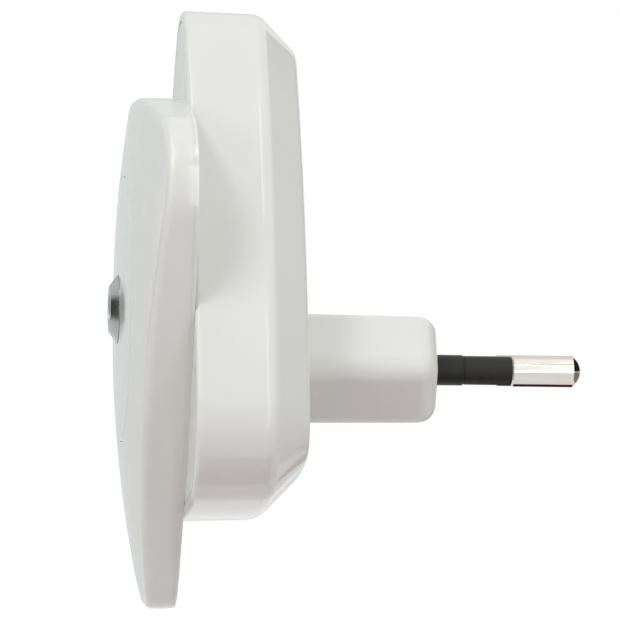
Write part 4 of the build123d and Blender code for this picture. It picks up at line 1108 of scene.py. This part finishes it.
def flat_sheet(scene, name, corners, material):
    """A sheet of the stage with four corners."""
    mesh = bpy.data.meshes.new(name)
    mesh.from_pydata(corners, [], [(0, 1, 2, 3)])
    mesh.materials.append(material)
    sheet = bpy.data.objects.new(name, mesh)
    scene.collection.objects.link(sheet)
    return sheet


def make_floor(scene, settings):
    """A wide floor, white to the camera, to glossy surfaces and through clear ones."""
    level = CAD_BOX[0].z - settings.floor_drop
    corners = [(FLOOR_REACH * i, FLOOR_REACH * j, level) for i, j in SQUARE]
    material, tree, shader = new_finish("Pale floor", FLOOR_COLOUR, roughness=0.8)[:3]
    glow = add_node(tree, "ShaderNodeEmission", {"Strength": FLOOR_GLOW})
    shares = {0: seen_directly(tree), 1: FLOOR_WHITE}
    factor = add_node(tree, "ShaderNodeMath", shares, operation="MULTIPLY").outputs[0]
    show_by_ray(tree, "Material Output", factor, shader, glow)
    floor = flat_sheet(scene, "floor", corners, material)


def make_surround(scene, settings):
    """White to the camera, to glossy surfaces and through clear ones; a plain level else."""
    world = bpy.data.worlds.new("Surround")
    world.use_nodes = True
    tree = world.node_tree
    white = {"Color": (1.0, 1.0, 1.0, 1.0), "Strength": 1.0}
    lit = set_inputs(tree, tree.nodes["Background"], {**white, "Strength": settings.surround})
    seen = add_node(tree, "ShaderNodeBackground", white)
    show_by_ray(tree, "World Output", seen_directly(tree), lit, seen)
    scene.world = world


def make_lamp(scene, settings, name, azimuth, elevation, distance, spans, glossy):
    """A soft lamp that gives its share of full light at the middle of the object."""
    lamp = bpy.data.lights.new(name, "AREA")
    lamp.shape = "RECTANGLE"
    lamp.size, lamp.size_y = spans
    lamp.energy = getattr(settings, name) * (pi * distance) ** 2
    holder = bpy.data.objects.new(name, lamp)
    back = look_direction(radians(azimuth), radians(elevation))
    holder.location = (CAD_BOX[0] + CAD_BOX[1]) / 2 + back * distance
    holder.rotation_mode = "QUATERNION"
    holder.rotation_quaternion = (-back).to_track_quat("-Z", "Y")
    holder.visible_camera = False
    holder.visible_glossy = glossy
    scene.collection.objects.link(holder)


def make_card(scene, name, faced, azimuth, elevation, distance, spans, rgb):
    """A flat card that faces a place and shows only in the object's gloss."""
    back = look_direction(radians(azimuth), radians(elevation))
    across = back.cross(Vector(UP)).normalized() * spans[0] / 2
    upright = across.cross(back).normalized() * spans[1] / 2
    centre = Vector(faced) + back * distance
    corners = [centre + across * i + upright * j for i, j in SQUARE]
    material, tree = new_finish(name, (0.0, 0.0, 0.0), roughness=1.0)[:2]
    glow = add_node(tree, "ShaderNodeEmission", {"Color": (*rgb, 1.0)})
    set_inputs(tree, tree.nodes["Material Output"], {"Surface": glow.outputs["Emission"]})
    card = flat_sheet(scene, name, corners, material)
    card.visible_camera = card.visible_diffuse = card.visible_shadow = False
    card.visible_transmission = card.visible_volume_scatter = False


def make_camera(scene, settings):
    """A camera at its azimuth and elevation round the target, rolled about its view."""
    camera = bpy.data.cameras.new("Camera")
    camera.lens = settings.lens
    camera.clip_start = 0.05
    camera.clip_end = 50.0
    holder = bpy.data.objects.new("Camera", camera)
    back = look_direction(settings.azimuth, settings.elevation)
    holder.location = Vector(settings.target) + back * settings.distance
    holder.rotation_mode = "QUATERNION"
    level = (-back).to_track_quat("-Z", "Y")
    holder.rotation_quaternion = Quaternion(back, settings.roll) @ level
    scene.collection.objects.link(holder)
    scene.camera = holder


# --- Panel and registration ---

PIECES = (
    NIGHTLIGHT_OT_rear_shell,
    NIGHTLIGHT_OT_front_panel,
    NIGHTLIGHT_OT_diffuser,
    NIGHTLIGHT_OT_rear_cover,
    NIGHTLIGHT_OT_lens,
    NIGHTLIGHT_OT_bezel,
    NIGHTLIGHT_OT_pins,
    NIGHTLIGHT_OT_sleeves,
    NIGHTLIGHT_OT_inner_parts,
    NIGHTLIGHT_OT_stage,
)


class NIGHTLIGHT_PT_sidebar(bpy.types.Panel):
    """Lists the night light's pieces."""

    bl_label = "Night light"
    bl_space_type = "VIEW_3D"
    bl_region_type = "UI"
    bl_category = "Night light"

    def draw(self, context):
        for piece in PIECES:
            self.layout.operator(piece.bl_idname)


CLASSES = (
    OutlineSizes, BoxSizes, PlateSizes, LensSizes, BezelSizes, PlugSizes, PinSizes,
    FinishColours, StageSettings, NightLight, *PIECES, NIGHTLIGHT_PT_sidebar,
)


def register():
    """Register the classes and hang the settings on the scene."""
    for item in CLASSES:
        bpy.utils.register_class(item)
    bpy.types.Scene.night_light = PointerProperty(type=NightLight)


def unregister():
    """Undo register."""
    del bpy.types.Scene.night_light
    for item in reversed(CLASSES):
        bpy.utils.unregister_class(item)


def main():
    """Build the night light and its stage."""
    register()
    bpy.ops.nightlight.rear_shell()
    bpy.ops.nightlight.front_panel()
    bpy.ops.nightlight.diffuser()
    bpy.ops.nightlight.rear_cover()
    bpy.ops.nightlight.lens()
    bpy.ops.nightlight.bezel()
    bpy.ops.nightlight.pins()
    bpy.ops.nightlight.sleeves()
    bpy.ops.nightlight.inner_parts()
    bpy.ops.nightlight.stage()


if __name__ == "__main__":
    main()
